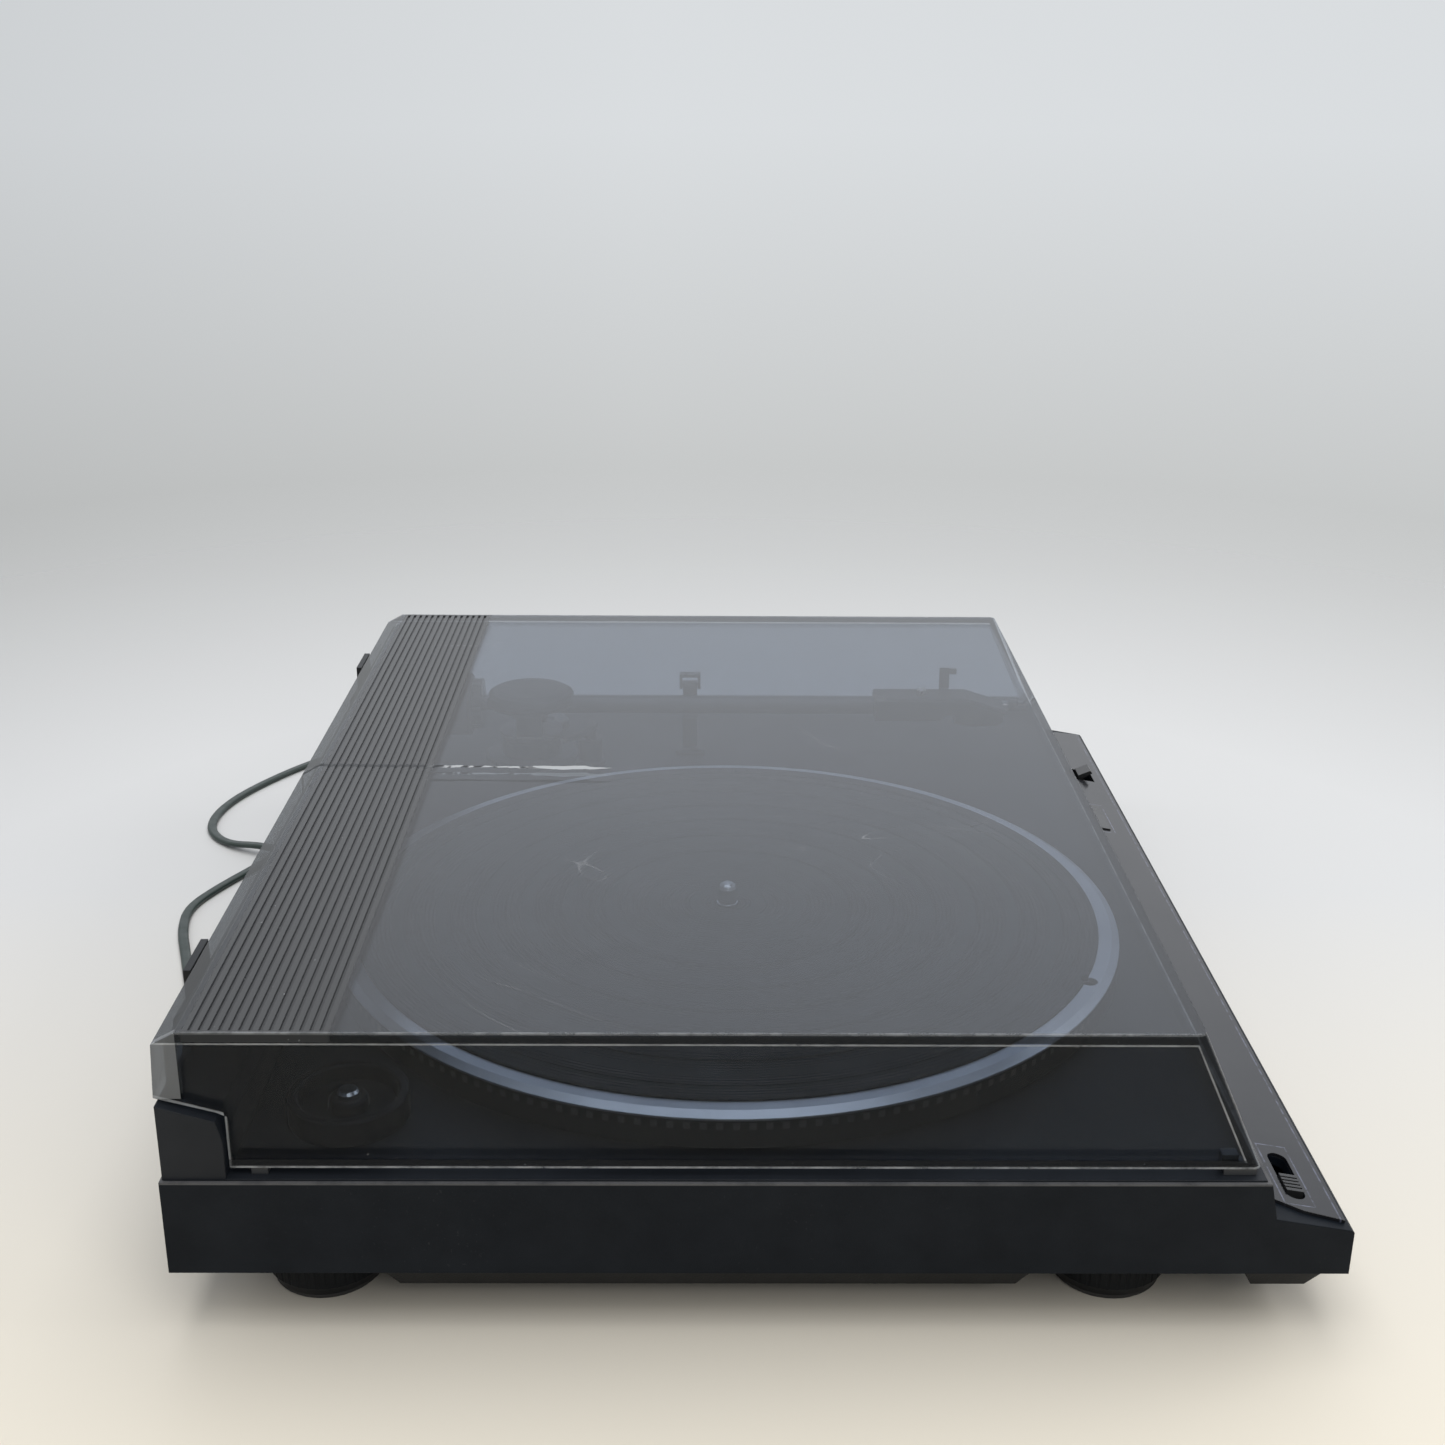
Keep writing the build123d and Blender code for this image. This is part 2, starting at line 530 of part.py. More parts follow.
with BuildPart() as platter_bearing:
    turned([(SPINDLE_SHAFT_R + RUN_GAP, 28.0), (8, 28.0), (8, 47.4), (17, 47.4), (17, 50.3), (8, 50.3), (8, 54.4),
            (SPINDLE_SHAFT_R + RUN_GAP, 54.4)], PLATTER_X, PLATTER_Y)
write(platter_bearing, "platter_bearing")

with BuildPart() as thrust_plate:
    post(PLATTER_X, PLATTER_Y, 25.4, 28.0, 8.0)
write(thrust_plate, "thrust_plate")

# ---- motor and belt -----------------------------------------------------------------
BELT_GAP = 0.3
BELT_T = 0.6


def belt_outline(grow):
    """Filled outline of a belt round the platter's rib and the pulley."""
    with Locations((PLATTER_X, PLATTER_Y)):
        Circle(BELT_RIB_R + grow)
    with Locations((MOTOR_X, MOTOR_Y)):
        Circle(PULLEY_R + grow)
    make_hull()


with BuildPart() as drive_belt:
    with BuildSketch(Plane.XY.offset(56.4)):
        belt_outline(BELT_GAP + BELT_T)
    extrude(amount=3.8)
    with BuildSketch(Plane.XY.offset(56.0)):
        belt_outline(BELT_GAP)
    extrude(amount=4.6, mode=Mode.SUBTRACT)
write(drive_belt, "drive_belt")

SHAFT_R = 1.2
with BuildPart() as motor:
    turned([(0, 22.0), (16, 22.0), (17.5, 23.5), (17.5, 44.0), (26, 44.0), (26, 45.6), (7, 45.6),
            (7, 48.0), (0, 48.0)], MOTOR_X, MOTOR_Y)
    post(MOTOR_X, MOTOR_Y, 30.0, 49.0, SHAFT_R + RUN_GAP, Mode.SUBTRACT)
write(motor, "motor")

with BuildPart() as motor_shaft:
    post(MOTOR_X, MOTOR_Y, 30.1, 61.0, SHAFT_R)
write(motor_shaft, "motor_shaft")

with BuildPart() as motor_pulley:
    turned([(SHAFT_R, 54.2), (4.0, 54.2), (4.0, 55.4), (7.4, 55.4), (7.4, 56.0), (PULLEY_R, 56.3),
            (PULLEY_R, 60.3), (7.4, 60.5), (7.4, 60.9), (SHAFT_R, 60.9)], MOTOR_X, MOTOR_Y)
write(motor_pulley, "motor_pulley")

MOTOR_MOUNT_R = 21.8
with BuildPart() as motor_grommets:
    for angle in (45, 165, 285):
        turn = math.radians(angle)
        turned([(0, 45.6), (3.6, 45.6), (2.8, 46.4), (2.8, 49.6), (3.6, DECK_TOP_Z - DECK_T),
                (0, DECK_TOP_Z - DECK_T)],
               MOTOR_X + MOTOR_MOUNT_R * math.cos(turn), MOTOR_Y + MOTOR_MOUNT_R * math.sin(turn))
write(motor_grommets, "motor_grommets")

# ---- return linkage under the deck --------------------------------------------------
with BuildPart() as return_link:
    with BuildSketch(LINK_PLANE):
        with Locations((78, 0)):
            SlotOverall(126, 9)
        with Locations(*[(along, 0) for along in LINK_PINS]):
            SlotOverall(20, 4, mode=Mode.SUBTRACT)
    extrude(amount=1.6)
write(return_link, "return_link")

# ---- tonearm ------------------------------------------------------------------------
with BuildPart() as tonearm_base:
    turned([
        (5.05, 42.0), (9.0, 42.0), (9.0, DECK_TOP_Z), (22.0, DECK_TOP_Z), (22.0, DECK_TOP_Z + 1.6),
        (20.8, DECK_TOP_Z + 2.6), (14.0, DECK_TOP_Z + 2.6), (14.0, 63.2), (13.2, 64.0), (5.05, 64.0),
    ], ARM_X, ARM_Y)
write(tonearm_base, "tonearm_base")

with BuildPart() as arm_yoke:
    post(ARM_X, ARM_Y, 40.0, 66.0, 5.0)
    post(ARM_X, ARM_Y, 64.4, 67.0, 15.0)
    for side in (-1, 1):
        bar(ARM_X + side * 9.2, ARM_X + side * 13.0, ARM_Y - 6, ARM_Y + 6, 66.5, 84.9)
        rod_x(ARM_X + side * 9.0, ARM_X + side * 13.2, ARM_Y, ARM_Z, 1.5, Mode.SUBTRACT)
write(arm_yoke, "arm_yoke")

CAP_R = 21.2
with BuildPart() as pivot_cap:
    turned([
        (0, 80.2), (CAP_R - 1.2, 80.2), (CAP_R, 81.4), (CAP_R, 83.4), (CAP_R - 0.8, 84.9),
        (CAP_R - 3.2, 86.3), (CAP_R - 8, 87.0), (0, 87.2),
    ], ARM_X, ARM_Y)
    # channel for the arm tube and pockets for the yoke's uprights
    bar(ARM_X - 6.8, ARM_X + 6.8, ARM_Y - 30, ARM_Y + 30, 79, 85.2, Mode.SUBTRACT)
    for side in (-1, 1):
        bar(ARM_X + side * 6.0, ARM_X + side * 13.0, ARM_Y - 6, ARM_Y + 6, 79, 84.9, Mode.SUBTRACT)
write(pivot_cap, "pivot_cap")

with BuildPart() as pivot_screws:
    for side in (-1, 1):
        rod_x(ARM_X + side * 4.6, ARM_X + side * 13.0, ARM_Y, ARM_Z, 1.5)
write(pivot_screws, "pivot_screws")

with BuildPart() as arm_collar:
    bar(ARM_X - 6.0, ARM_X + 6.0, ARM_Y - 8, ARM_Y + 8, ARM_Z - 5.4, ARM_Z + 5.0)
    rod_y(ARM_X, ARM_Y - 9, ARM_Y + 9, ARM_Z, ARM_TUBE_R, Mode.SUBTRACT)
    rod_x(ARM_X - 7, ARM_X + 7, ARM_Y, ARM_Z, 1.5 + RUN_GAP, Mode.SUBTRACT)
write(arm_collar, "arm_collar")

STUB_END_Y = 152.0
with BuildPart() as arm_tube:
    rod_y(ARM_X, HEADSHELL_REAR_Y - 6, 112.0, ARM_Z, ARM_TUBE_R)
    rod_y(ARM_X, 110.0, STUB_END_Y, ARM_Z, 3.0)
    rod_y(ARM_X, HEADSHELL_REAR_Y - 7, 80.0, ARM_Z, ARM_TUBE_R - 1.0, Mode.SUBTRACT)
write(arm_tube, "arm_tube")

SHELL_HALF_W = 8.5
with BuildPart() as headshell:
    with BuildSketch(side_plane(ARM_X - SHELL_HALF_W)):
        polygon([
            (HEADSHELL_REAR_Y, ARM_Z - 5.0), (HEADSHELL_REAR_Y, ARM_Z + 5.7), (-110.0, ARM_Z + 5.7),
            (HEADSHELL_FRONT_Y, 79.2), (HEADSHELL_FRONT_Y, 77.4), (-100.0, 77.4), (-97.0, ARM_Z - 5.0),
        ])
    extrude(amount=2 * SHELL_HALF_W)
    rod_y(ARM_X, HEADSHELL_REAR_Y - 6, HEADSHELL_REAR_Y + 1, ARM_Z, ARM_TUBE_R, Mode.SUBTRACT)
    chamfer(headshell.edges().filter_by(lambda e: abs(abs(e.center().X - ARM_X) - SHELL_HALF_W) < 0.01
                                        and e.center().Z > 81), 1.2)
write(headshell, "headshell")

with BuildPart() as headshell_screw:
    turned([(0, ARM_Z + 5.7), (2.4, ARM_Z + 5.7), (2.4, ARM_Z + 8.0), (1.6, ARM_Z + 8.6), (0, ARM_Z + 8.6)],
           ARM_X, -88.5)
write(headshell_screw, "headshell_screw")

LIFT_Y = -101.0
with BuildPart() as finger_lift:
    lift_plane = Plane(origin=(0, LIFT_Y + 2.4, 0), x_dir=(1, 0, 0), z_dir=(0, -1, 0))
    with BuildSketch(lift_plane):
        polygon([
            (ARM_X + SHELL_HALF_W, 80.0), (ARM_X + SHELL_HALF_W + 3.2, 80.0), (ARM_X + SHELL_HALF_W + 5.6, 83.4),
            (ARM_X + SHELL_HALF_W + 6.6, 93.6), (ARM_X + SHELL_HALF_W + 5.2, 93.8),
            (ARM_X + SHELL_HALF_W + 4.2, 84.0), (ARM_X + SHELL_HALF_W + 2.4, 81.6), (ARM_X + SHELL_HALF_W, 81.6),
        ])
    extrude(amount=4.8)
    # hooked tip for a fingertip
    bar(ARM_X + SHELL_HALF_W + 4.9, ARM_X + SHELL_HALF_W + 6.5, LIFT_Y - 5.8, LIFT_Y - 2.0, 90.6, 93.4)
write(finger_lift, "finger_lift")

with BuildPart() as cartridge:
    with BuildSketch(side_plane(ARM_X - 7.2)):
        polygon([(-127.2, 77.38), (-127.2, 73.6), (-124.5, 71.6), (-112.0, 71.2), (-104.0, 72.8), (-104.0, 77.38)])
    extrude(amount=14.4)
write(cartridge, "cartridge")

with BuildPart() as stylus:
    with BuildSketch(side_plane(ARM_X - 2.4)):
        polygon([(-121.2, 71.2), (-112.5, 71.2), (-112.5, 70.5), (-120.6, 70.5)])
    extrude(amount=4.8)
    with BuildSketch(side_plane(ARM_X - 0.3)):
        polygon([(STYLUS_Y - 0.4, 70.1), (-119.5, 70.55), (-119.5, 71.0), (STYLUS_Y - 0.4, 70.6)])
    extrude(amount=0.6)
    with Locations((ARM_X, STYLUS_Y, 69.75)):
        Cone(0.05, 0.25, 0.8)
write(stylus, "stylus")

WEIGHT_Y0, WEIGHT_Y1 = 125.4, 141.0
with BuildPart() as counterweight:
    rod_y(ARM_X, WEIGHT_Y0, WEIGHT_Y1, ARM_Z, 15.0)
    chamfer(counterweight.edges().filter_by(GeomType.CIRCLE), 1.2)
    rod_y(ARM_X, WEIGHT_Y0 - 1, WEIGHT_Y1 + 1, ARM_Z, 3.0 + RUN_GAP, Mode.SUBTRACT)
write(counterweight, "counterweight")

with BuildPart() as tracking_ring:
    rod_y(ARM_X, 120.6, 125.2, ARM_Z, 12.0)
    with Locations(Location((ARM_X, 122.9, ARM_Z), (90, 0, 0))):
        with PolarLocations(12.1, 30):
            Cylinder(0.45, 6, mode=Mode.SUBTRACT)
    rod_y(ARM_X, 119, 127, ARM_Z, 3.0 + RUN_GAP, Mode.SUBTRACT)
write(tracking_ring, "tracking_ring")

REST_X0, REST_X1 = ARM_X + 6.0, ARM_X + 10.5
CLIP_Z = 86.8
CLIP_X = (REST_X0 + REST_X1) / 2
with BuildPart() as arm_rest:
    bar(REST_X0 - 6, REST_X1 + 3, REST_Y - 7, REST_Y + 7, DECK_TOP_Z, DECK_TOP_Z + 2.4)
    bar(REST_X0, REST_X1, REST_Y - 3.4, REST_Y + 3.4, DECK_TOP_Z, CLIP_Z + 1.3)
    bar(ARM_X - 4.5, REST_X0, REST_Y - 3.4, REST_Y + 3.4, 70.0, ARM_Z - ARM_TUBE_R - 0.35)
    rod_y(CLIP_X, REST_Y - 5, REST_Y + 5, CLIP_Z, 1.0 + RUN_GAP, Mode.SUBTRACT)
write(arm_rest, "arm_rest")

with BuildPart() as arm_clip:
    for side in (-1, 1):
        bar(REST_X0, REST_X1, REST_Y + side * 3.6, REST_Y + side * 5.0, CLIP_Z - 1.6, 92.4)
    bar(REST_X0, REST_X1, REST_Y - 5.0, REST_Y + 5.0, 90.9, 92.4)
    rod_y(CLIP_X, REST_Y - 5.0, REST_Y + 5.0, CLIP_Z, 1.0)
write(arm_clip, "arm_clip")

# ---- cueing -------------------------------------------------------------------------
with BuildPart() as cue_housing:
    turned([(3.05, 44.0), (5.0, 44.0), (5.0, DECK_TOP_Z - DECK_T), (5.0, DECK_TOP_Z), (7.0, DECK_TOP_Z),
            (7.0, DECK_TOP_Z + 1.5), (5.6, DECK_TOP_Z + 2.2), (5.6, 66.0), (3.05, 66.0)], CUE_X, CUE_Y)
write(cue_housing, "cue_housing")

LIFT_ARC_R = 30.0
with BuildPart() as cue_lift:
    post(CUE_X, CUE_Y, 46.0, 70.0, 3.0)
    with BuildSketch(Plane.XY.offset(69.4)):
        with Locations((ARM_X, ARM_Y)):
            Circle(LIFT_ARC_R + 2)
            Circle(LIFT_ARC_R - 2, mode=Mode.SUBTRACT)
        keep = [(ARM_X, ARM_Y), (ARM_X + 8, ARM_Y - 45), (ARM_X - 20, ARM_Y - 50), (ARM_X - 48, ARM_Y - 32)]
        with BuildSketch(Plane.XY.offset(69.4), mode=Mode.INTERSECT):
            polygon(keep)
    extrude(amount=1.8)
write(cue_lift, "cue_lift")

LEVER_PIVOT_Z = 33.5
LEVER_PIVOT_Y = CUE_LEVER_Y + 1.0
with BuildPart() as cue_lever:
    rod_x(CUE_LEVER_X - 6.2, CUE_LEVER_X + 6.2, LEVER_PIVOT_Y, LEVER_PIVOT_Z, 3.0)
    with BuildSketch(side_plane(CUE_LEVER_X - 4.5)):
        polygon([
            (LEVER_PIVOT_Y - 1.8, LEVER_PIVOT_Z), (LEVER_PIVOT_Y + 1.8, LEVER_PIVOT_Z),
            (LEVER_PIVOT_Y + 0.6, 41.0), (LEVER_PIVOT_Y - 5.2, 43.4), (LEVER_PIVOT_Y - 6.2, 42.0),
            (LEVER_PIVOT_Y - 2.0, 39.6),
        ])
    extrude(amount=9)
write(cue_lever, "cue_lever")

with BuildPart() as antiskate_dial:
    turned([(2.0 + RUN_GAP, DECK_TOP_Z + 0.3), (9.0, DECK_TOP_Z + 0.3), (9.0, 57.0), (8.2, 57.8),
            (2.0 + RUN_GAP, 57.8)], DIAL_X, DIAL_Y)
    with BuildSketch(Plane.XY.offset(DECK_TOP_Z)):
        with Locations((DIAL_X, DIAL_Y)):
            with PolarLocations(9.1, 24):
                Circle(0.45)
    extrude(amount=8, mode=Mode.SUBTRACT)
write(antiskate_dial, "antiskate_dial")

# ---- controls on the fascia ---------------------------------------------------------
CONTROL_DEPTH = 5.6
with BuildPart() as speed_selector:
    with BuildSketch(FASCIA_PLANE.offset(FASCIA_T - CONTROL_DEPTH)):
        with Locations((SELECTOR_X, up_slope(SELECTOR_Y))):
            Rectangle(9.0, 5.6)
    extrude(amount=CONTROL_DEPTH + 0.9)
    with BuildSketch(FASCIA_PLANE.offset(FASCIA_T + 0.4)):
        with Locations((SELECTOR_X, up_slope(SELECTOR_Y))):
            with GridLocations(1.8, 0, 4, 1):
                Rectangle(0.7, 6)
    extrude(amount=2, mode=Mode.SUBTRACT)
write(speed_selector, "speed_selector")

with BuildPart() as stop_button:
    with BuildSketch(FASCIA_PLANE.offset(FASCIA_T - CONTROL_DEPTH)):
        with Locations((STOP_X, up_slope(STOP_Y))):
            Rectangle(26.8, 4.4)
    extrude(amount=CONTROL_DEPTH + 0.6)
write(stop_button, "stop_button")

# ---- record adaptor and its peg -----------------------------------------------------
ADAPTOR_Z0 = DECK_TOP_Z + 0.65
with BuildPart() as record_adaptor:
    turned([
        (3.7, ADAPTOR_Z0), (19.3, ADAPTOR_Z0), (19.3, 61.7), (18.8, 62.3), (16.6, 62.3), (16.0, 61.6),
        (15.0, 57.2), (6.6, 56.8), (6.2, 59.8), (5.6, 60.4), (3.7, 60.4),
    ], ADAPTOR_X, ADAPTOR_Y)
write(record_adaptor, "record_adaptor")

with BuildPart() as adaptor_peg:
    turned([(0, 48.0), (2.5, 48.0), (2.5, DECK_TOP_Z + 0.6), (3.6, DECK_TOP_Z + 0.6), (3.6, 62.0), (2.9, 62.9),
            (0, 63.2)], ADAPTOR_X, ADAPTOR_Y)
write(adaptor_peg, "adaptor_peg")

# ---- electrical parts ---------------------------------------------------------------
with BuildPart() as power_transformer:
    bar(-148, -100, 92, 130, 11.25, 15.0)
    bar(-144, -104, 98, 124, 15.0, 42.0)
    bar(-136, -112, 92, 130, 19.0, 38.0)
write(power_transformer, "power_transformer")

with BuildPart() as circuit_board:
    bar(20, 110, 100, 155, 17.0, 18.6)
    for x in (32, 52, 72):
        post(x, 115, 18.6, 30.0, 5.0)
    for x in (45, 66, 88):
        bar(x - 5, x + 5, 135, 143, 18.6, 24.0)
    for x in (24, 106):
        for y in (104, 151):
            post(x, y, 11.2, 17.0, 3.0)
write(circuit_board, "circuit_board")

SOCKET_Z = 36.0
with BuildPart() as phono_sockets:
    bar(92.2, 147.8, 164.0, REAR_Y - 0.2, 26.2, 45.8)
    bar(94.0, 146.0, 166.0, REAR_Y + 1, 28.0, 44.0, Mode.SUBTRACT)
    for x in (107.0, 124.0):
        rod_y(x, 160.0, 176.0, SOCKET_Z, 4.15)
        rod_y(x, 168.0, 177.0, SOCKET_Z, 1.65, Mode.SUBTRACT)
    rod_y(138.0, 160.0, 170.0, SOCKET_Z, 2.0)
    rod_y(138.0, 170.0, 173.0, SOCKET_Z, 4.2)
write(phono_sockets, "phono_sockets")

# ---- mains lead ---------------------------------------------------------------------
GLAND_END_Y = REAR_Y + 26.0
with BuildPart() as strain_relief:
    with BuildSketch(Plane(origin=(CORD_X, 0, CORD_Z), x_dir=(0, 1, 0), z_dir=(1, 0, 0))):
        polygon([
            (REAR_Y - 6, 0), (REAR_Y - 6, 7.0), (REAR_Y - WALL, 7.0), (REAR_Y - WALL, 4.9), (REAR_Y, 4.9),
            (REAR_Y, 6.6), (REAR_Y + 2, 6.6), (REAR_Y + 2, 5.0), (GLAND_END_Y, 3.0), (GLAND_END_Y, 0),
        ])
    revolve(axis=Axis((CORD_X, 0, CORD_Z), (0, 1, 0)))
write(strain_relief, "strain_relief")

# Route of the lead from its gland to the coil. It drops to the table behind the cabinet, makes
# one loop that crosses itself, and goes round the right-hand rear corner.
HUMP_Z = CORD_FLOOR_Z + CORD_D + 0.9
ROUTE = [
    (CORD_X, GLAND_END_Y, CORD_Z),
    (CORD_X, 213.0, 30.0),
    (-28.0, 219.0, 23.0),
    (-25.0, 222.0, 15.0),
    (-18.0, 225.0, 8.0),
    (-5.0, 229.0, 3.5),
    (10.0, 234.0, CORD_FLOOR_Z),
    (31.0, 241.0, CORD_FLOOR_Z),
    (53.0, 248.5, CORD_FLOOR_Z),
    (76.0, 252.0, CORD_FLOOR_Z),
    (97.0, 244.0, CORD_FLOOR_Z),
    (118.0, 233.0, CORD_FLOOR_Z),
    (138.0, 223.0, CORD_FLOOR_Z),
    (156.5, 213.3, CORD_FLOOR_Z),
    (160.9, 199.3, CORD_FLOOR_Z),
    (154.0, 186.3, CORD_FLOOR_Z),
    (139.9, 182.1, CORD_FLOOR_Z),
    (127.1, 189.3, CORD_FLOOR_Z),
    (123.2, 203.4, CORD_FLOOR_Z + 2.0),
    (129.0, 216.0, HUMP_Z),
    (138.0, 232.5, HUMP_Z),
    (147.5, 252.0, CORD_FLOOR_Z + 0.6),
    (164.0, 264.5, CORD_FLOOR_Z),
    (184.0, 267.0, CORD_FLOOR_Z),
    (206.0, 262.5, CORD_FLOOR_Z),
    (229.0, 251.8, CORD_FLOOR_Z),
    (256.0, 235.0, CORD_FLOOR_Z),
    (272.0, 219.5, CORD_FLOOR_Z),
    (282.0, 201.0, CORD_FLOOR_Z),
    (287.5, 181.0, CORD_FLOOR_Z),
    (COIL_X + 32.4, 163.0, CORD_FLOOR_Z),
    (COIL_X + 32.6, COIL_Y, CORD_FLOOR_Z),
]


def corner_radii(points):
    """Largest tangent arc at each inner point: 0.45 of its shorter run over tan(half turn)."""
    vectors = [Vector(*p) for p in points]
    radii = []
    for before, here, after in zip(vectors, vectors[1:], vectors[2:]):
        run_in, run_out = here - before, after - here
        half_turn = math.radians(run_in.get_angle(run_out)) / 2
        radii.append(0.45 * min(run_in.length, run_out.length) / math.tan(half_turn))
    return radii


radii = corner_radii(ROUTE)
print("cord radii, mm:", [round(r) for r in radii])
with BuildPart() as mains_cord:
    with BuildLine() as cord_path:
        FilletPolyline(*ROUTE, radius=radii)
    with BuildSketch(Plane(origin=cord_path.wire() @ 0, z_dir=cord_path.wire() % 0)):
        Circle(CORD_D / 2)
    sweep()
cord_length = cord_path.wire().length
section = math.pi * CORD_D ** 2 / 4
print(f"cord tube: {cord_length:.1f} mm, volume ratio {mains_cord.part.volume / (section * cord_length):.4f}")
write(mains_cord, "mains_cord")

COIL_HALF_WIDTH = 7.2
COIL_TOP_Z = 10.4
with BuildPart() as cord_coil:
    inner_r, outer_r = COIL_MID_R - COIL_HALF_WIDTH, COIL_MID_R + COIL_HALF_WIDTH
    turned([
        (inner_r + 2, 0.1), (outer_r - 2, 0.1), (outer_r, 2.1), (outer_r, COIL_TOP_Z - 2),
        (outer_r - 2, COIL_TOP_Z), (inner_r + 2, COIL_TOP_Z), (inner_r, COIL_TOP_Z - 2), (inner_r, 2.1),
    ], COIL_X, COIL_Y)
write(cord_coil, "cord_coil")

# two-pin plug lying beside the coil, its lead entering from the coil's right-hand side
PLUG_X, PLUG_Y1 = 288.5, 128.0
PLUG_Z = 7.2
with BuildPart() as mains_plug:
    plug_plane = Plane(origin=(PLUG_X, PLUG_Y1, PLUG_Z), x_dir=(1, 0, 0), z_dir=(0, -1, 0))
    with BuildSketch(plug_plane):
        Circle(3.2)
    with BuildSketch(plug_plane.offset(14)):
        RectangleRounded(16, 12, 4)
    loft()
    with BuildSketch(plug_plane.offset(14)):
        RectangleRounded(24, 14, 4)
    extrude(amount=17)
write(mains_plug, "mains_plug")

with BuildPart() as plug_blades:
    for offset in (-6.35, 6.35):
        bar(PLUG_X + offset - 0.8, PLUG_X + offset + 0.8, PLUG_Y1 - 31.0, PLUG_Y1 - 47.5,
            PLUG_Z - 3.2, PLUG_Z + 3.2)
write(plug_blades, "plug_blades")
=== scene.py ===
import json
import math

import bpy
from mathutils import Matrix, Vector


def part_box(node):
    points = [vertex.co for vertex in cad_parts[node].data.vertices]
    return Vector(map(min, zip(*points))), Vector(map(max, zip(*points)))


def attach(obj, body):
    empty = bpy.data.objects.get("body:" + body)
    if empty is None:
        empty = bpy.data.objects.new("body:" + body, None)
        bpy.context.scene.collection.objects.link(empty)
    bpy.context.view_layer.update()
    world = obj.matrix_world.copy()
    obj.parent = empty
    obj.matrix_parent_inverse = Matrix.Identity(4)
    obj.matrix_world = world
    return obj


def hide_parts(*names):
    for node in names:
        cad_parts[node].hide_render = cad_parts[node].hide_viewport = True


# Belt-drive record player: looks, mains lead, camera and light for the CAD frame.
# Lengths are in metres unless a name or comment says otherwise.
MM = 0.001
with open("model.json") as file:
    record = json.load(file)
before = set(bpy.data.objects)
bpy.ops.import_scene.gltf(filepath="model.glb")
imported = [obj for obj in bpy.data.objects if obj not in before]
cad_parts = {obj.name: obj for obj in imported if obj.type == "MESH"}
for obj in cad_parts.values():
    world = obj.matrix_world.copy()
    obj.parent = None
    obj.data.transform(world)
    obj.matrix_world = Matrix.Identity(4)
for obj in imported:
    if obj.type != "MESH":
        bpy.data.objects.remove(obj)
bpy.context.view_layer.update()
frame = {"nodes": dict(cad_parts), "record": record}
nodes = frame["nodes"]


# ---- camera: low, in front of the cabinet's left side --------------------------------
CAMERA_PLACE = Vector((-0.67655, 0.01534, 0.36986))
# turned away from +x, tipped down and tilted, in radians
CAMERA_YAW, CAMERA_PITCH, CAMERA_ROLL = -0.011016, 0.352198, 0.007745
LENS_MM, SENSOR_MM = 45.05, 36.0


def make_camera():
    """Camera at the photographed viewing angle."""
    flat = math.cos(CAMERA_PITCH)
    forward = Vector((math.cos(CAMERA_YAW) * flat, math.sin(CAMERA_YAW) * flat, -math.sin(CAMERA_PITCH)))
    level_right = Vector((math.sin(CAMERA_YAW), -math.cos(CAMERA_YAW), 0))
    level_up = level_right.cross(forward)
    right = math.cos(CAMERA_ROLL) * level_right + math.sin(CAMERA_ROLL) * level_up
    up = -math.sin(CAMERA_ROLL) * level_right + math.cos(CAMERA_ROLL) * level_up
    data = bpy.data.cameras.new("camera")
    data.lens = LENS_MM
    data.sensor_width = SENSOR_MM
    data.clip_start = 0.02
    data.clip_end = 60
    camera = bpy.data.objects.new("camera", data)
    bpy.context.scene.collection.objects.link(camera)
    turn = Matrix((right, up, -forward)).transposed().to_4x4()
    camera.matrix_world = Matrix.Translation(CAMERA_PLACE) @ turn
    bpy.context.scene.camera = camera


make_camera()


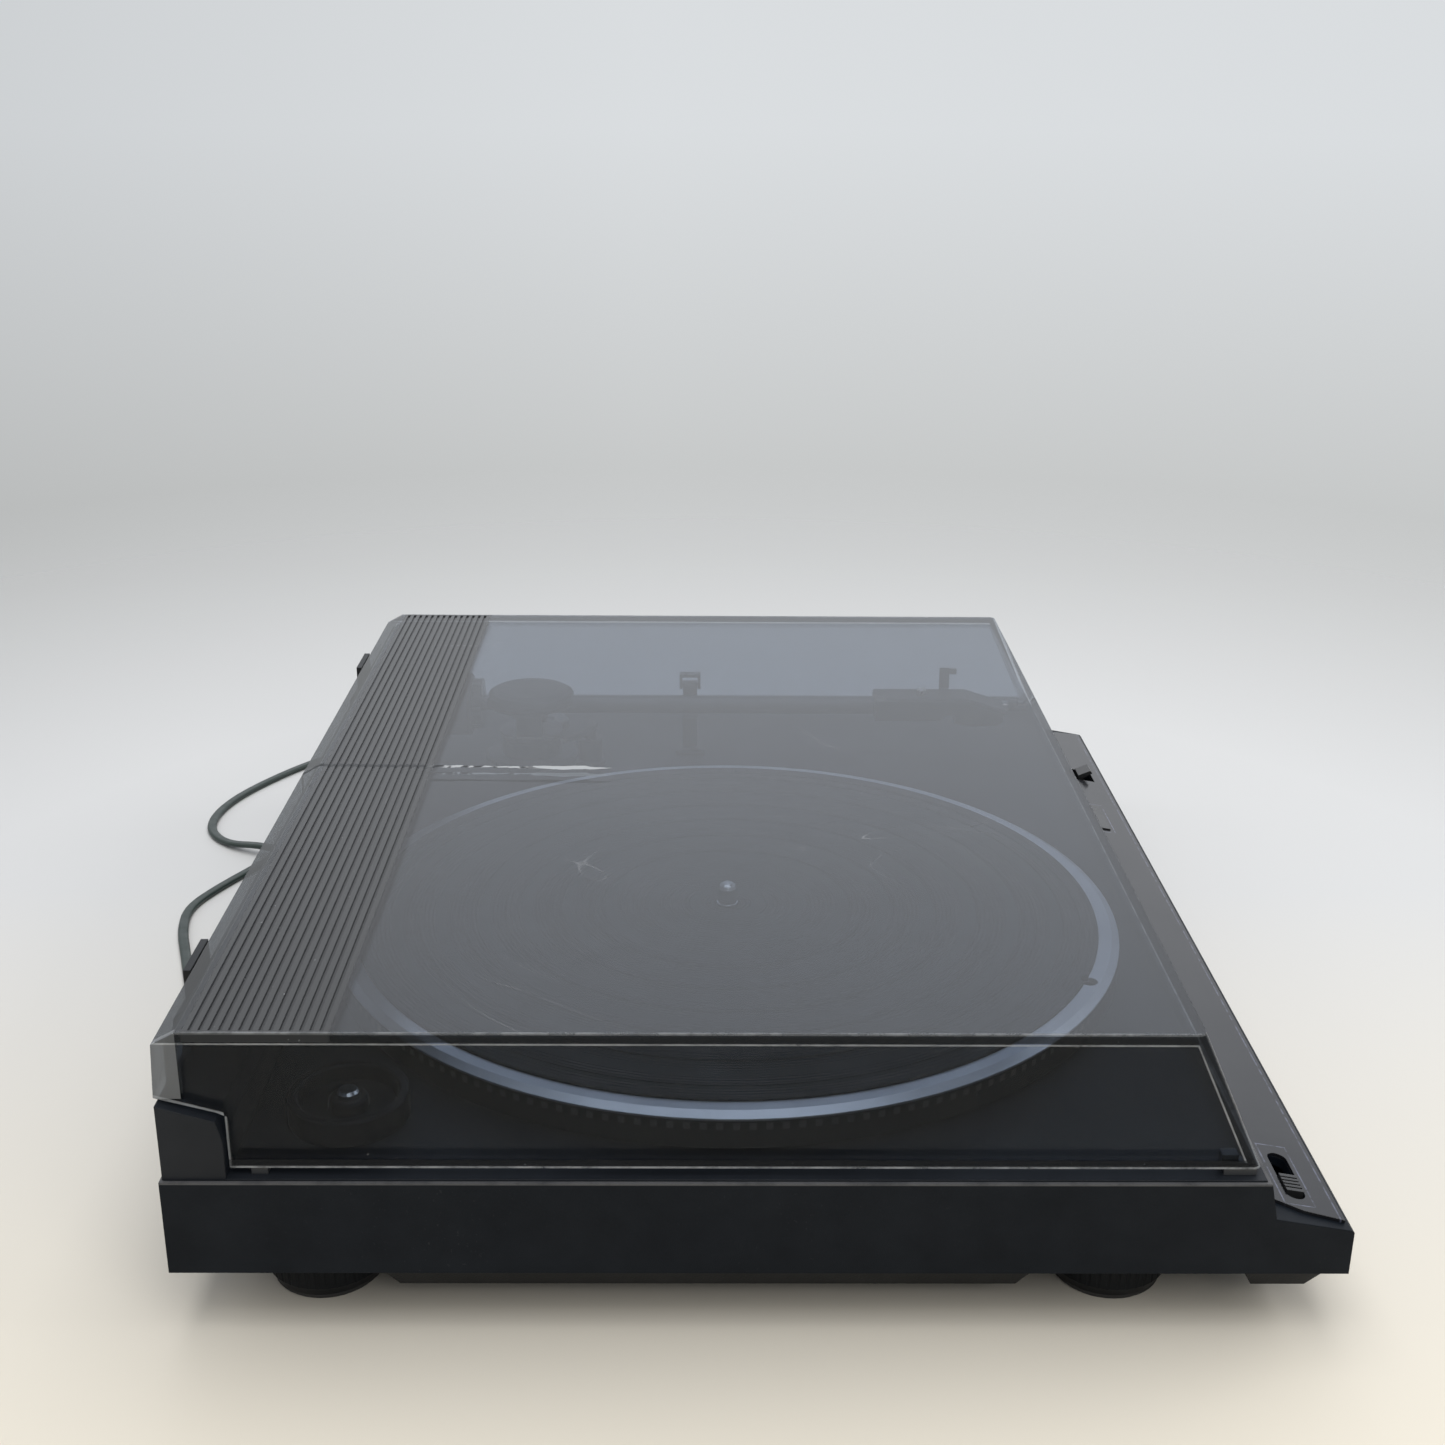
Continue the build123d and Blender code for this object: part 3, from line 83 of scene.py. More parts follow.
# ---- node helpers --------------------------------------------------------------------
class Nodes:
    """Builds a node tree with short calls."""

    def __init__(self, tree, coordinates):
        self.tree = tree
        self.place = tree.nodes.new("ShaderNodeTexCoord").outputs[coordinates]

    def add(self, kind, **inputs):
        """New node, its inputs named with _ for a space."""
        node = self.tree.nodes.new("ShaderNode" + kind)
        for key, value in inputs.items():
            self.feed(node.inputs[key.replace("_", " ")], value)
        return node

    def feed(self, socket, value):
        """Links a socket, or sets a plain value."""
        if isinstance(value, bpy.types.NodeSocket):
            self.tree.links.new(value, socket)
        else:
            socket.default_value = value

    def fill(self, kind, values):
        """New node with its first inputs filled in order."""
        node = self.tree.nodes.new("ShaderNode" + kind)
        for socket, value in zip(node.inputs, values):
            self.feed(socket, value)
        return node

    def math(self, operation, *values, clamp=False):
        """One step of arithmetic, repeated along the list of values."""
        result = values[0]
        for value in values[1:] or (0.0,):
            node = self.fill("Math", (result, value))
            node.operation = operation
            node.use_clamp = clamp
            result = node.outputs[0]
        return result

    def plus(self, *values, clamp=False):
        return self.math("ADD", *values, clamp=clamp)

    def minus(self, a, b, clamp=False):
        return self.math("SUBTRACT", a, b, clamp=clamp)

    def times(self, *values):
        return self.math("MULTIPLY", *values)

    def most(self, *values):
        return self.math("MAXIMUM", *values)

    def over(self, value, limit):
        """1 where value is above limit, else 0."""
        return self.math("GREATER_THAN", value, limit)

    def under(self, value, limit):
        """1 where value is below limit, else 0."""
        return self.math("LESS_THAN", value, limit)

    def gap(self, a, b=0.0):
        """Distance between two values."""
        return self.math("ABSOLUTE", self.minus(a, b))

    def wave(self, value, pitch, start=0.0, shape="SINE"):
        """Sine or cosine along value, one turn for each pitch."""
        return self.math(shape, self.times(self.minus(value, start), 2 * math.pi / pitch))

    def axes(self):
        node = self.add("SeparateXYZ", Vector=self.place)
        return node.outputs[0], node.outputs[1], node.outputs[2]

    def vector(self, x, y, z):
        return self.fill("CombineXYZ", (x, y, z)).outputs[0]

    def noise(self, scale, detail=2.0, roughness=0.5, vector=None, distortion=0.0):
        node = self.add("TexNoise", Vector=vector or self.place, Scale=scale, Detail=detail,
                        Roughness=roughness, Distortion=distortion)
        return node.outputs["Fac"]

    def spread(self, value, low, high, to_low=0.0, to_high=1.0):
        """Maps value from low..high to to_low..to_high, held at the ends."""
        node = self.fill("MapRange", (value, low, high, to_low, to_high))
        node.clamp = True
        return node.outputs[0]

    def stripe(self, value, centre, half, soft):
        """1 within half of the centre, falling to 0 over the soft edge."""
        return self.spread(self.gap(value, centre), half + soft, half)

    def blend(self, share, a, b):
        """Colour between a and b."""
        node = self.tree.nodes.new("ShaderNodeMix")
        node.data_type = "RGBA"
        self.feed(node.inputs["Factor"], share)
        for key, colour in (("A", a), ("B", b)):
            linked = isinstance(colour, bpy.types.NodeSocket)
            self.feed(node.inputs[key], colour if linked else (*colour, 1.0))
        return node.outputs["Result"]

    def mix(self, share, first, second):
        """Shader between two shaders."""
        return self.fill("MixShader", (share, first, second)).outputs[0]

    def bump(self, height, distance, normal=None):
        node = self.add("Bump", Height=height, Distance=distance, Strength=1.0)
        if normal is not None:
            self.feed(node.inputs["Normal"], normal)
        return node.outputs[0]

    def rounded(self, radius):
        """Normal that rounds sharp edges off."""
        node = self.add("Bevel", Radius=radius)
        node.samples = 4
        return node.outputs[0]


class Finish(Nodes):
    """Node tree of one material, with its main shader at hand."""

    def __init__(self, name):
        self.material = bpy.data.materials.new(name)
        self.material.use_nodes = True
        super().__init__(self.material.node_tree, "Object")
        self.shader = self.tree.nodes["Principled BSDF"]

    def set(self, **inputs):
        for key, value in inputs.items():
            self.feed(self.shader.inputs[key.replace("_", " ")], value)
        return self.material

    def show(self, surface):
        """Sends a shader to the output instead of the main one."""
        self.feed(self.tree.nodes["Material Output"].inputs["Surface"], surface)
        return self.material


# ---- plastics and metals -------------------------------------------------------------
DUST = (0.20, 0.22, 0.25)
SPECK = (0.25, 0.26, 0.27)
# colour of the painted highlight along a top edge
EDGE_HIGHLIGHT = (0.10, 0.102, 0.108)


def moulded(name, colour, rough, grain=0.04 * MM, grain_scale=2600, edge=0.5 * MM, dust=0.25,
            coat=0.0, gleam=0.28, highlight_z=None):
    """Moulded plastic: fine spark grain, uneven gloss, a little dust and softened edges.

    highlight_z is the height above which a painted highlight lines the top edge.
    """
    n = Finish(name)
    dusty = n.times(n.spread(n.noise(14, 4, 0.6), 0.45, 0.75), dust)
    specks = n.spread(n.noise(900, 1), 0.70, 0.78)
    shade = n.blend(n.spread(n.noise(60, 3), 0.3, 0.7), colour, [c * 1.25 + 0.002 for c in colour])
    shade = n.blend(n.times(dusty, 0.03), shade, DUST)
    shade = n.blend(n.times(specks, dusty, 0.25), shade, SPECK)
    if highlight_z:
        # painted highlight along the top edge, made patchy by noise
        line = n.spread(n.axes()[2], highlight_z - 0.8 * MM, highlight_z - 0.5 * MM)
        line = n.times(line, n.spread(n.noise(70, 4, 0.65), 0.3, 0.55, 0.5, 1.0))
        shade = n.blend(line, shade, EDGE_HIGHLIGHT)
    gloss = n.spread(n.noise(35, 4, 0.65), 0.25, 0.75, rough - 0.06, rough + 0.08)
    return n.set(Base_Color=shade, Roughness=gloss, Coat_Weight=coat, Coat_Roughness=0.08,
                 Specular_IOR_Level=gleam,
                 Normal=n.bump(n.noise(grain_scale, 2), grain, normal=n.rounded(edge)))


def metal(name, colour, rough, brushed=None, edge=0.2 * MM, pit=0.02 * MM):
    """Metal with fine drawn lines along x or y, or fine pitting, and slight tarnish."""
    n = Finish(name)
    along, across = 60, 5000
    stretch = {"x": (along, across, across), "y": (across, along, across)}
    if brushed:
        lines = n.noise(1, 3, vector=n.vector(*map(n.times, n.axes(), stretch[brushed])))
    else:
        lines = n.noise(1400, 3)
    shade = n.blend(n.spread(n.noise(90, 4, 0.6), 0.3, 0.75), colour, [c * 0.72 for c in colour])
    gloss = n.spread(lines, 0.3, 0.7, rough - 0.05, rough + 0.12)
    return n.set(Base_Color=shade, Roughness=gloss, Metallic=1.0,
                 Normal=n.bump(lines, pit, normal=n.rounded(edge)))


# ---- platter and mat -----------------------------------------------------------------
BEARING_LOW, BEARING_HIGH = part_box("platter_bearing")
PLATTER_CENTRE = (BEARING_LOW + BEARING_HIGH) / 2
PLATTER_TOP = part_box("platter")[1].z
# marks cast round the platter's side
MARK_COUNT = 180
MARK_Z = PLATTER_TOP - 4.2 * MM
MARK_HALF = 1.2 * MM
# the mat's fine ridges, and its flat rings
RIDGE_PITCH = 1.6 * MM
RING_PITCH = 16 * MM


def from_platter(n):
    """Offsets from the platter's axis, and the distance from it."""
    x, y, _ = n.axes()
    dx = n.minus(x, PLATTER_CENTRE.x)
    dy = n.minus(y, PLATTER_CENTRE.y)
    return dx, dy, n.math("SQRT", n.plus(n.times(dx, dx), n.times(dy, dy)))


def platter_finish():
    """Cast platter: turned, dull metal top ring over a darker side with fine marks."""
    n = Finish("platter_metal")
    z = n.axes()[2]
    dx, dy, radius = from_platter(n)
    turning = n.noise(1, 3, 0.6, vector=n.vector(n.times(radius, 4200), 0.0, 0.0))
    top = n.blend(n.spread(n.noise(40, 4, 0.6), 0.3, 0.7), (0.80, 0.81, 0.84), (0.64, 0.65, 0.68))
    marks = n.over(n.math("SINE", n.times(n.math("ARCTAN2", dy, dx), MARK_COUNT)), 0.2)
    marks = n.times(marks, n.under(n.gap(z, MARK_Z), MARK_HALF))
    side = n.blend(marks, (0.050, 0.054, 0.060), (0.13, 0.134, 0.14))
    shade = n.blend(n.spread(z, PLATTER_TOP - 2.4 * MM, PLATTER_TOP - 1.6 * MM), side, top)
    return n.set(Base_Color=shade, Roughness=n.spread(turning, 0.3, 0.7, 0.26, 0.42), Metallic=0.85,
                 Normal=n.bump(turning, 0.03 * MM, normal=n.rounded(0.3 * MM)))


def mat_finish():
    """Rubber mat with fine concentric ridges between broad flat rings."""
    n = Finish("mat_rubber")
    radius = from_platter(n)[2]
    ridges = n.spread(n.wave(radius, RIDGE_PITCH), -0.6, 0.6)
    ridged = n.spread(n.wave(radius, RING_PITCH), -0.75, -0.45)
    dust = n.spread(n.noise(22, 5, 0.65), 0.45, 0.72)
    lint = n.spread(n.noise(700, 1), 0.74, 0.80)
    shade = n.blend(n.times(dust, 0.25), (0.012, 0.0135, 0.016), (0.055, 0.058, 0.062))
    shade = n.blend(n.times(lint, 0.2), shade, (0.25, 0.25, 0.25))
    fine = n.bump(n.noise(1800, 2), 0.04 * MM)
    return n.set(Base_Color=shade, Roughness=n.spread(n.noise(50, 3), 0.3, 0.7, 0.5, 0.68),
                 Normal=n.bump(n.times(ridges, ridged), 0.25 * MM, normal=fine))


# ---- dust cover ----------------------------------------------------------------------
COVER_LOW, COVER_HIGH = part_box("dust_cover")
COVER_SIDE = COVER_HIGH.x
COVER_TOP = COVER_HIGH.z
COVER_FOOT = COVER_LOW.z
COVER_FRONT = COVER_LOW.y
COVER_REAR = COVER_HIGH.y
# the front leans back: y gained for each unit of height
FRONT_LEAN = 0.456
SHEET = 3.0 * MM
# light let through by the clear sheet, and by its ribbed strip
SMOKE = (0.622, 0.654, 0.696)
MURKY = (0.030, 0.032, 0.036)
ACRYLIC_IOR = 1.49
# scuffed or frosted acrylic, which is also the colour of the painted highlights along the sheet's edges,
# and its shut-in dark edges
FROST_AND_EDGE_HIGHLIGHT = (0.40, 0.42, 0.44)
EDGE_DARK = (0.008, 0.010, 0.013)
# the sides are cut away behind SHOULDER_Y, where the deck's shoulders rise
SHOULDER_Y = COVER_REAR - 20.7 * MM
SHOULDER_Z = COVER_FOOT + 19.2 * MM
SHOULDER_RISE = 0.286
# ribbed strip along the rear edge of the top
RIBS_FRONT, RIBS_REAR = COVER_REAR - 54 * MM, COVER_REAR - 9.8 * MM
RIB_PITCH = 2.97 * MM
LAST_GROOVE = COVER_REAR - 12.4 * MM
# crack from the rear edge, with its tip near the middle of the top
CRACK_TIP = 52 * MM
CRACK_JAG = 4.5 * MM


def crack_lines(n):
    """A jagged line from the rear edge, and the whitish part where the sheet has come apart."""
    x, y, z = n.axes()
    jag = n.minus(n.noise(1, 5, 0.7, vector=n.vector(n.times(y, 130), 3.0, 0.0)), 0.5)
    drift = n.spread(y, CRACK_TIP - 2 * MM, COVER_REAR, -0.6 * MM, 2.0 * MM)
    off = n.gap(n.minus(x, drift), n.times(jag, CRACK_JAG))
    opening = n.spread(y, 78 * MM, 122 * MM, 0.0, 1.4 * MM)
    tip = n.times(n.spread(y, CRACK_TIP, CRACK_TIP + 12 * MM, 0.0, 1.9 * MM),
                  n.spread(y, 110 * MM, 72 * MM))
    crack = n.times(n.under(off, n.most(opening, tip)), n.over(z, COVER_TOP - 11.7 * MM))
    patchy = n.most(n.spread(n.noise(190, 2), 0.42, 0.50), n.spread(y, 88 * MM, 80 * MM))
    white = n.times(crack, n.spread(y, 128 * MM, 118 * MM), patchy)
    return crack, white


def scuffs(n):
    """Hair scratches, rub marks and haze on the top face, and specks all over."""
    x, y, z = n.axes()
    top_face = n.over(z, COVER_TOP - 0.3 * MM)
    swirl = n.times(n.noise(2.2, 3, 0.55, distortion=1.4), 22)
    hair = n.spread(n.gap(n.math("FRACT", swirl), 0.5), 0.010, 0.0)
    hair = n.times(hair, n.spread(n.noise(9, 3, vector=n.vector(x, y, 4.0)), 0.56, 0.66))
    rub = n.noise(1, 2, vector=n.vector(n.times(x, 40), n.times(y, 1500), z))
    rub = n.times(n.spread(rub, 0.70, 0.76), n.spread(n.noise(12, 2), 0.55, 0.7))
    specks = n.spread(n.noise(620, 1), 0.775, 0.80)
    haze = n.spread(n.noise(5, 5, 0.6), 0.3, 0.8, 0.012, 0.040)
    marks = n.plus(n.times(hair, 0.30), n.times(rub, 0.08))
    return n.plus(n.times(haze, top_face), n.plus(n.times(marks, top_face), n.times(specks, 0.25)),
                  clamp=True)


def sheet_edges(n):
    """The sheet's thick edges seen through its sides: dark bands, and pale lines of painted highlight
    along them.
    """
    x, y, z = n.axes()
    wall = n.over(n.gap(x), COVER_SIDE - 0.8 * MM)
    # distance inside the side's outline, from the top edge or the leaning front edge
    front_gap = n.minus(n.minus(y, COVER_FRONT), n.times(n.minus(z, COVER_FOOT), FRONT_LEAN))
    upright = math.cos(math.atan(FRONT_LEAN))
    inside = n.math("MINIMUM", n.minus(COVER_TOP, z), n.times(front_gap, upright))
    band = n.times(n.spread(inside, 3.4 * MM, SHEET), wall)
    outer_line = n.times(n.spread(inside, 0.7 * MM, 0.4 * MM), wall)
    inner_line = n.times(n.stripe(inside, 3.7 * MM, 0.2 * MM, 0.2 * MM), wall,
                         n.spread(z, COVER_FOOT + 1.9 * MM, COVER_FOOT + 3.4 * MM))
    # along the foot
    cut = n.under(z, COVER_FOOT + 0.1 * MM)
    foot_band = n.times(n.spread(z, COVER_FOOT + 3.2 * MM, COVER_FOOT + 2.8 * MM), wall)
    lip = n.most(n.spread(n.gap(x), COVER_SIDE - 0.9 * MM, COVER_SIDE - 0.5 * MM),
                 n.spread(y, COVER_FRONT + 1.1 * MM, COVER_FRONT + 0.7 * MM))
    foot_line = n.times(n.spread(z, COVER_FOOT + 0.9 * MM, COVER_FOOT + 0.6 * MM),
                        n.most(wall, n.times(cut, lip)))
    # round the cut-out for the deck's shoulder
    slope = n.plus(n.times(n.minus(y, SHOULDER_Y + 2.5 * MM), SHOULDER_RISE), SHOULDER_Z)
    slope_line = n.times(n.over(y, SHOULDER_Y + 0.2 * MM),
                         n.spread(n.minus(z, slope), 1.0 * MM, 0.6 * MM), wall)
    step_line = n.times(n.stripe(y, SHOULDER_Y, 0.5 * MM, 0.4 * MM),
                        n.under(z, SHOULDER_Z - 1.3 * MM), wall)
    # the pale lines are painted highlights along the sheet's edges, broken up by noise
    highlight_breakup = n.spread(n.noise(110, 4, 0.7), 0.28, 0.60, 0.45, 1.0)
    pale = n.most(n.times(outer_line, 0.55), n.times(inner_line, 0.60), n.times(foot_line, 0.75),
                  n.times(n.most(slope_line, step_line), 0.55))
    return wall, n.times(n.most(band, foot_band, cut), 0.82), n.times(pale, highlight_breakup)


def ribbed_strip(n):
    """The strip of fine ribs that hides what is under it, and painted shade in its grooves."""
    _, y, z = n.axes()
    strip = n.times(n.spread(y, RIBS_FRONT, RIBS_FRONT + 1.0 * MM),
                    n.spread(y, RIBS_REAR, RIBS_REAR - 0.6 * MM), n.over(z, COVER_TOP - 3.1 * MM))
    # painted shade in the grooves between the ribs
    groove_shade = n.over(n.wave(y, RIB_PITCH, LAST_GROOVE, "COSINE"), 0.30)
    return strip, n.times(strip, groove_shade, 0.34)


def rear_face(n):
    """The rounded rear face, and its pale end corners."""
    x, y, z = n.axes()
    rear = n.times(n.over(y, COVER_REAR - 8.3 * MM), n.under(z, COVER_TOP - 0.3 * MM))
    corner = n.times(rear, n.over(z, COVER_TOP - 22.2 * MM),
                     n.spread(n.gap(x), COVER_SIDE - 3.3 * MM, COVER_SIDE - 2.3 * MM))
    return rear, corner


def cover_finish():
    """Smoked acrylic: gloss over a tinted clear body, with scuffs, a crack, dark cut edges, painted
    highlights along the sheet's edges and painted shade in the rib grooves.
    """
    n = Finish("cover_smoke")
    crack, white = crack_lines(n)
    wall, shut, pale = sheet_edges(n)
    ribs, painted_groove_shade = ribbed_strip(n)
    rear, corner = rear_face(n)
    film = n.most(scuffs(n), n.times(white, 0.9), n.times(corner, 0.35))
    film = n.plus(film, n.times(ribs, 0.06), clamp=True)
    # dark marks: the crack's line, the sheet's dark edge bands and the painted shade in the rib grooves
    dark = n.most(n.minus(crack, white, clamp=True), shut, painted_groove_shade)
    dark = n.minus(dark, pale, clamp=True)

    # the clear sheet: a mirror share by the angle of view over smoke-tinted glass
    back = n.add("NewGeometry").outputs["Backfacing"]
    ior = n.spread(back, 0.0, 1.0, ACRYLIC_IOR, 1 / ACRYLIC_IOR)
    mirror = n.times(n.add("Fresnel", IOR=ior).outputs[0], n.spread(wall, 0.0, 1.0, 1.0, 0.12))
    murk = n.most(n.times(ribs, 0.85), n.times(rear, 0.45))
    clear = n.add("BsdfTransparent", Color=n.blend(murk, SMOKE, MURKY)).outputs[0]
    gloss = n.add("BsdfGlossy", Roughness=n.spread(n.noise(8, 4), 0.3, 0.7, 0.015, 0.05)).outputs[0]
    body = n.mix(mirror, clear, gloss)

    # what lies on the sheet: pale film, painted edge highlights, dark edges and painted shade in the rib
    # grooves
    share = n.math("DIVIDE", dark, n.plus(dark, film, pale, 0.001))
    n.set(Base_Color=n.blend(share, FROST_AND_EDGE_HIGHLIGHT, EDGE_DARK), Roughness=0.35, Specular_IOR_Level=0.12)
    covered = n.math("MAXIMUM", n.plus(film, pale), dark, clamp=True)
    return n.show(n.mix(covered, body, n.shader.outputs[0]))


# ---- fascia, lead and board ----------------------------------------------------------
# printed frames: centre, half size and line width
SELECTOR_FRAME = ((-190.5 * MM, -169.0 * MM), (16.5 * MM, 5.0 * MM), 0.5 * MM)
STOP_FRAME = ((95.3 * MM, -168.5 * MM), (16.5 * MM, 4.5 * MM), 0.4 * MM)
PRINT_SOFT = 0.15 * MM
# print colour, also used for the painted highlight line along the front edge
PRINT_AND_HIGHLIGHT = (0.10, 0.11, 0.16)
# painted highlight line along the strip's front edge
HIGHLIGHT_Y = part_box("fascia_strip")[0].y + 1.4 * MM


def printed_frame(n, centre, half, line):
    """Thin outline printed on the fascia."""
    x, y, _ = n.axes()

    def patch(inset):
        return n.times(n.stripe(x, centre[0], half[0] - inset, PRINT_SOFT),
                       n.stripe(y, centre[1], half[1] - inset, PRINT_SOFT))

    return n.minus(patch(0.0), patch(line), clamp=True)


def fascia_finish():
    """Polished strip with a thin printed frame round the selector and the stop button, and a painted
    highlight line along its front edge.
    """
    n = Finish("fascia_black")
    # painted highlight line along the front edge, broken up with the print's wear
    edge = n.stripe(n.axes()[1], HIGHLIGHT_Y, 0.2 * MM, PRINT_SOFT)
    printed = n.most(printed_frame(n, *SELECTOR_FRAME), printed_frame(n, *STOP_FRAME), n.times(edge, 0.8))
    print_wear_and_breakup = n.spread(n.noise(300, 2), 0.35, 0.6)
    dust = n.spread(n.noise(30, 4, 0.65), 0.45, 0.75)
    shade = n.blend(n.times(dust, 0.25), (0.010, 0.011, 0.014), (0.05, 0.052, 0.058))
    shade = n.blend(n.times(printed, print_wear_and_breakup), shade, PRINT_AND_HIGHLIGHT)
    return n.set(Base_Color=shade, Roughness=n.spread(n.noise(60, 3), 0.3, 0.7, 0.10, 0.22),
                 Normal=n.bump(n.noise(45, 2), 0.05 * MM, normal=n.rounded(0.3 * MM)))


def vinyl_finish():
    """Flexible vinyl lead, dark grey-green and slightly shiny."""
    n = Finish("cord_vinyl")
    shade = n.blend(n.spread(n.noise(120, 3), 0.3, 0.7), (0.010, 0.024, 0.020), (0.020, 0.034, 0.030))
    return n.set(Base_Color=shade, Roughness=n.spread(n.noise(200, 3), 0.3, 0.7, 0.30, 0.46),
                 Normal=n.bump(n.noise(1500, 2), 0.03 * MM))


def board_finish():
    """Circuit board: brown laminate with green tracks."""
    n = Finish("board")
    tracks = n.add("TexBrick", Vector=n.place, Scale=120.0).outputs["Fac"]
    shade = n.blend(tracks, (0.20, 0.12, 0.04), (0.10, 0.16, 0.05))
    return n.set(Base_Color=shade, Roughness=n.spread(n.noise(300), 0.3, 0.7, 0.4, 0.6))


# ---- every finish, by the record's material slots ------------------------------------
CABINET_BLACK = (0.0042, 0.0066, 0.0105)
DECK_BLACK = (0.0105, 0.0130, 0.0175)
# the cabinet's top edge, lined with a painted highlight
FRAME_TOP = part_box("plinth_frame")[1].z
finishes = {
    "cabinet_black": moulded("cabinet_black", CABINET_BLACK, 0.42, edge=0.6 * MM, gleam=0.12,
                             highlight_z=FRAME_TOP),
    "deck_black": moulded("deck_black", DECK_BLACK, 0.46, grain=0.0015 * MM, grain_scale=900,
                          edge=0.6 * MM, gleam=0.20),
    "fascia_black": fascia_finish(),
    "pan_black": moulded("pan_black", (0.009, 0.0098, 0.011), 0.55, grain=0.1 * MM, grain_scale=1600,
                         gleam=0.2),
    "foot_black": moulded("foot_black", (0.0055, 0.0068, 0.0085), 0.45, edge=0.3 * MM, gleam=0.12),
    "pad_rubber": moulded("pad_rubber", (0.03, 0.03, 0.03), 0.75, grain=0.1 * MM),
    "screw_steel": metal("screw_steel", (0.62, 0.60, 0.55), 0.28),
    "cover_smoke": cover_finish(),
    "bumper_clear": moulded("bumper_clear", (0.045, 0.048, 0.052), 0.25, gleam=0.5),
    "hinge_black": moulded("hinge_black", (0.006, 0.0075, 0.010), 0.42, edge=0.3 * MM),
    "pin_steel": metal("pin_steel", (0.65, 0.65, 0.66), 0.25, brushed="x"),
    "platter_metal": platter_finish(),
    "mat_rubber": mat_finish(),
    "chrome": metal("chrome", (0.80, 0.80, 0.80), 0.12),
    "bearing_brass": metal("bearing_brass", (0.72, 0.55, 0.28), 0.3),
    "nylon_white": moulded("nylon_white", (0.62, 0.61, 0.56), 0.45, dust=0.1),
    "belt_rubber": moulded("belt_rubber", (0.02, 0.02, 0.02), 0.6),
    "motor_steel": metal("motor_steel", (0.5, 0.5, 0.49), 0.35),
    "arm_metal": metal("arm_metal", (0.085, 0.088, 0.095), 0.42, brushed="y"),
    "arm_black": moulded("arm_black", (0.010, 0.011, 0.013), 0.38, edge=0.3 * MM),
    "cartridge_black": moulded("cartridge_black", (0.015, 0.015, 0.016), 0.25, coat=0.4),
    "stylus_holder": moulded("stylus_holder", (0.45, 0.06, 0.03), 0.35),
    "knob_black": moulded("knob_black", (0.014, 0.015, 0.016), 0.25, coat=0.3, edge=0.3 * MM),
    "adaptor_black": moulded("adaptor_black", (0.0025, 0.0035, 0.0060), 0.34, edge=0.6 * MM, gleam=0.18),
    "board": board_finish(),
    "transformer": metal("transformer", (0.30, 0.27, 0.24), 0.5),
    "socket_metal": metal("socket_metal", (0.70, 0.68, 0.62), 0.25),
    "cord_vinyl": vinyl_finish(),
}
for row in frame["record"]["subparts"]:
    mesh = nodes[row["node"]].data
    mesh.materials.clear()
    mesh.materials.append(finishes[row["material_slot"]])


# ---- mains lead ----------------------------------------------------------------------
# The route and the coil are in millimetres, as in the part's source.
# heights of the flat lead's centre: lying on the table, and passing over itself
LIE = 1.35
ABOVE = 5.4
ROUTE = [
    (-30.0, 204.0, 31.5), (-30.0, 213.0, 30.0), (-28.0, 219.0, 23.0), (-25.0, 222.0, 15.0),
    (-18.0, 225.0, 8.0), (-5.0, 229.0, 3.2), (10.0, 234.0, LIE), (31.0, 241.0, LIE),
    (53.0, 248.5, LIE), (76.0, 252.0, LIE), (97.0, 244.0, LIE), (118.0, 233.0, LIE),
    (138.0, 223.0, LIE), (156.5, 213.3, LIE), (160.9, 199.3, LIE), (154.0, 186.3, LIE),
    (139.9, 182.1, LIE), (127.1, 189.3, LIE), (123.2, 203.4, LIE + 1.5), (129.0, 216.0, ABOVE),
    (138.0, 232.5, ABOVE), (147.5, 252.0, LIE + 0.3), (164.0, 264.5, LIE), (184.0, 267.0, LIE),
    (206.0, 262.5, LIE), (229.0, 251.8, LIE), (256.0, 235.0, LIE), (272.0, 219.5, LIE),
    (282.0, 201.0, LIE), (287.5, 181.0, LIE), (289.4, 163.0, LIE),
]
TO_PLUG = [(283.5, 157.5, 9.2), (289.5, 148.0, 9.2), (291.0, 138.5, 9.0), (289.3, 131.5, 7.9),
           (288.5, 126.0, 7.2)]
COIL_X, COIL_Y = 257.0, 146.0
COIL_OUTER, COIL_INNER, COIL_END = 32.4, 22.8, 27.0
LAYER = 2.6
# turns in each layer of the coil, with the radii where the layer starts and ends
COIL_LAYERS = [(2.0, COIL_OUTER, COIL_INNER), (2.0, COIL_INNER, COIL_OUTER),
               (2.0, COIL_OUTER, COIL_INNER), (0.85, COIL_INNER, COIL_END)]
TURN_POINTS = 16
# the last part of a layer climbs to the next one
CLIMB_SHARE = 0.15
# section: two round cores side by side, their outline drawn as two arcs
CORE_R = 1.22
CORE_X = 1.08
ARC_POINTS = 7
ARC_START, ARC_STEP = -105, 35


def coil_points():
    """Turns of the put-away lead: flat spirals in and out, one above the other."""
    points = []
    turned = 0.0
    for layer, (turns, r_start, r_end) in enumerate(COIL_LAYERS):
        last = layer == len(COIL_LAYERS) - 1
        steps = round(turns * TURN_POINTS)
        for i in range(steps):
            share = i / steps
            angle = -(turned + turns * share) * 2 * math.pi
            radius = r_start + (r_end - r_start) * share
            climb = 0.0 if last else max(0.0, share - 1 + CLIMB_SHARE) / CLIMB_SHARE
            points.append((COIL_X + radius * math.cos(angle), COIL_Y + radius * math.sin(angle),
                           LIE + LAYER * (layer + climb)))
        turned += turns
    return points


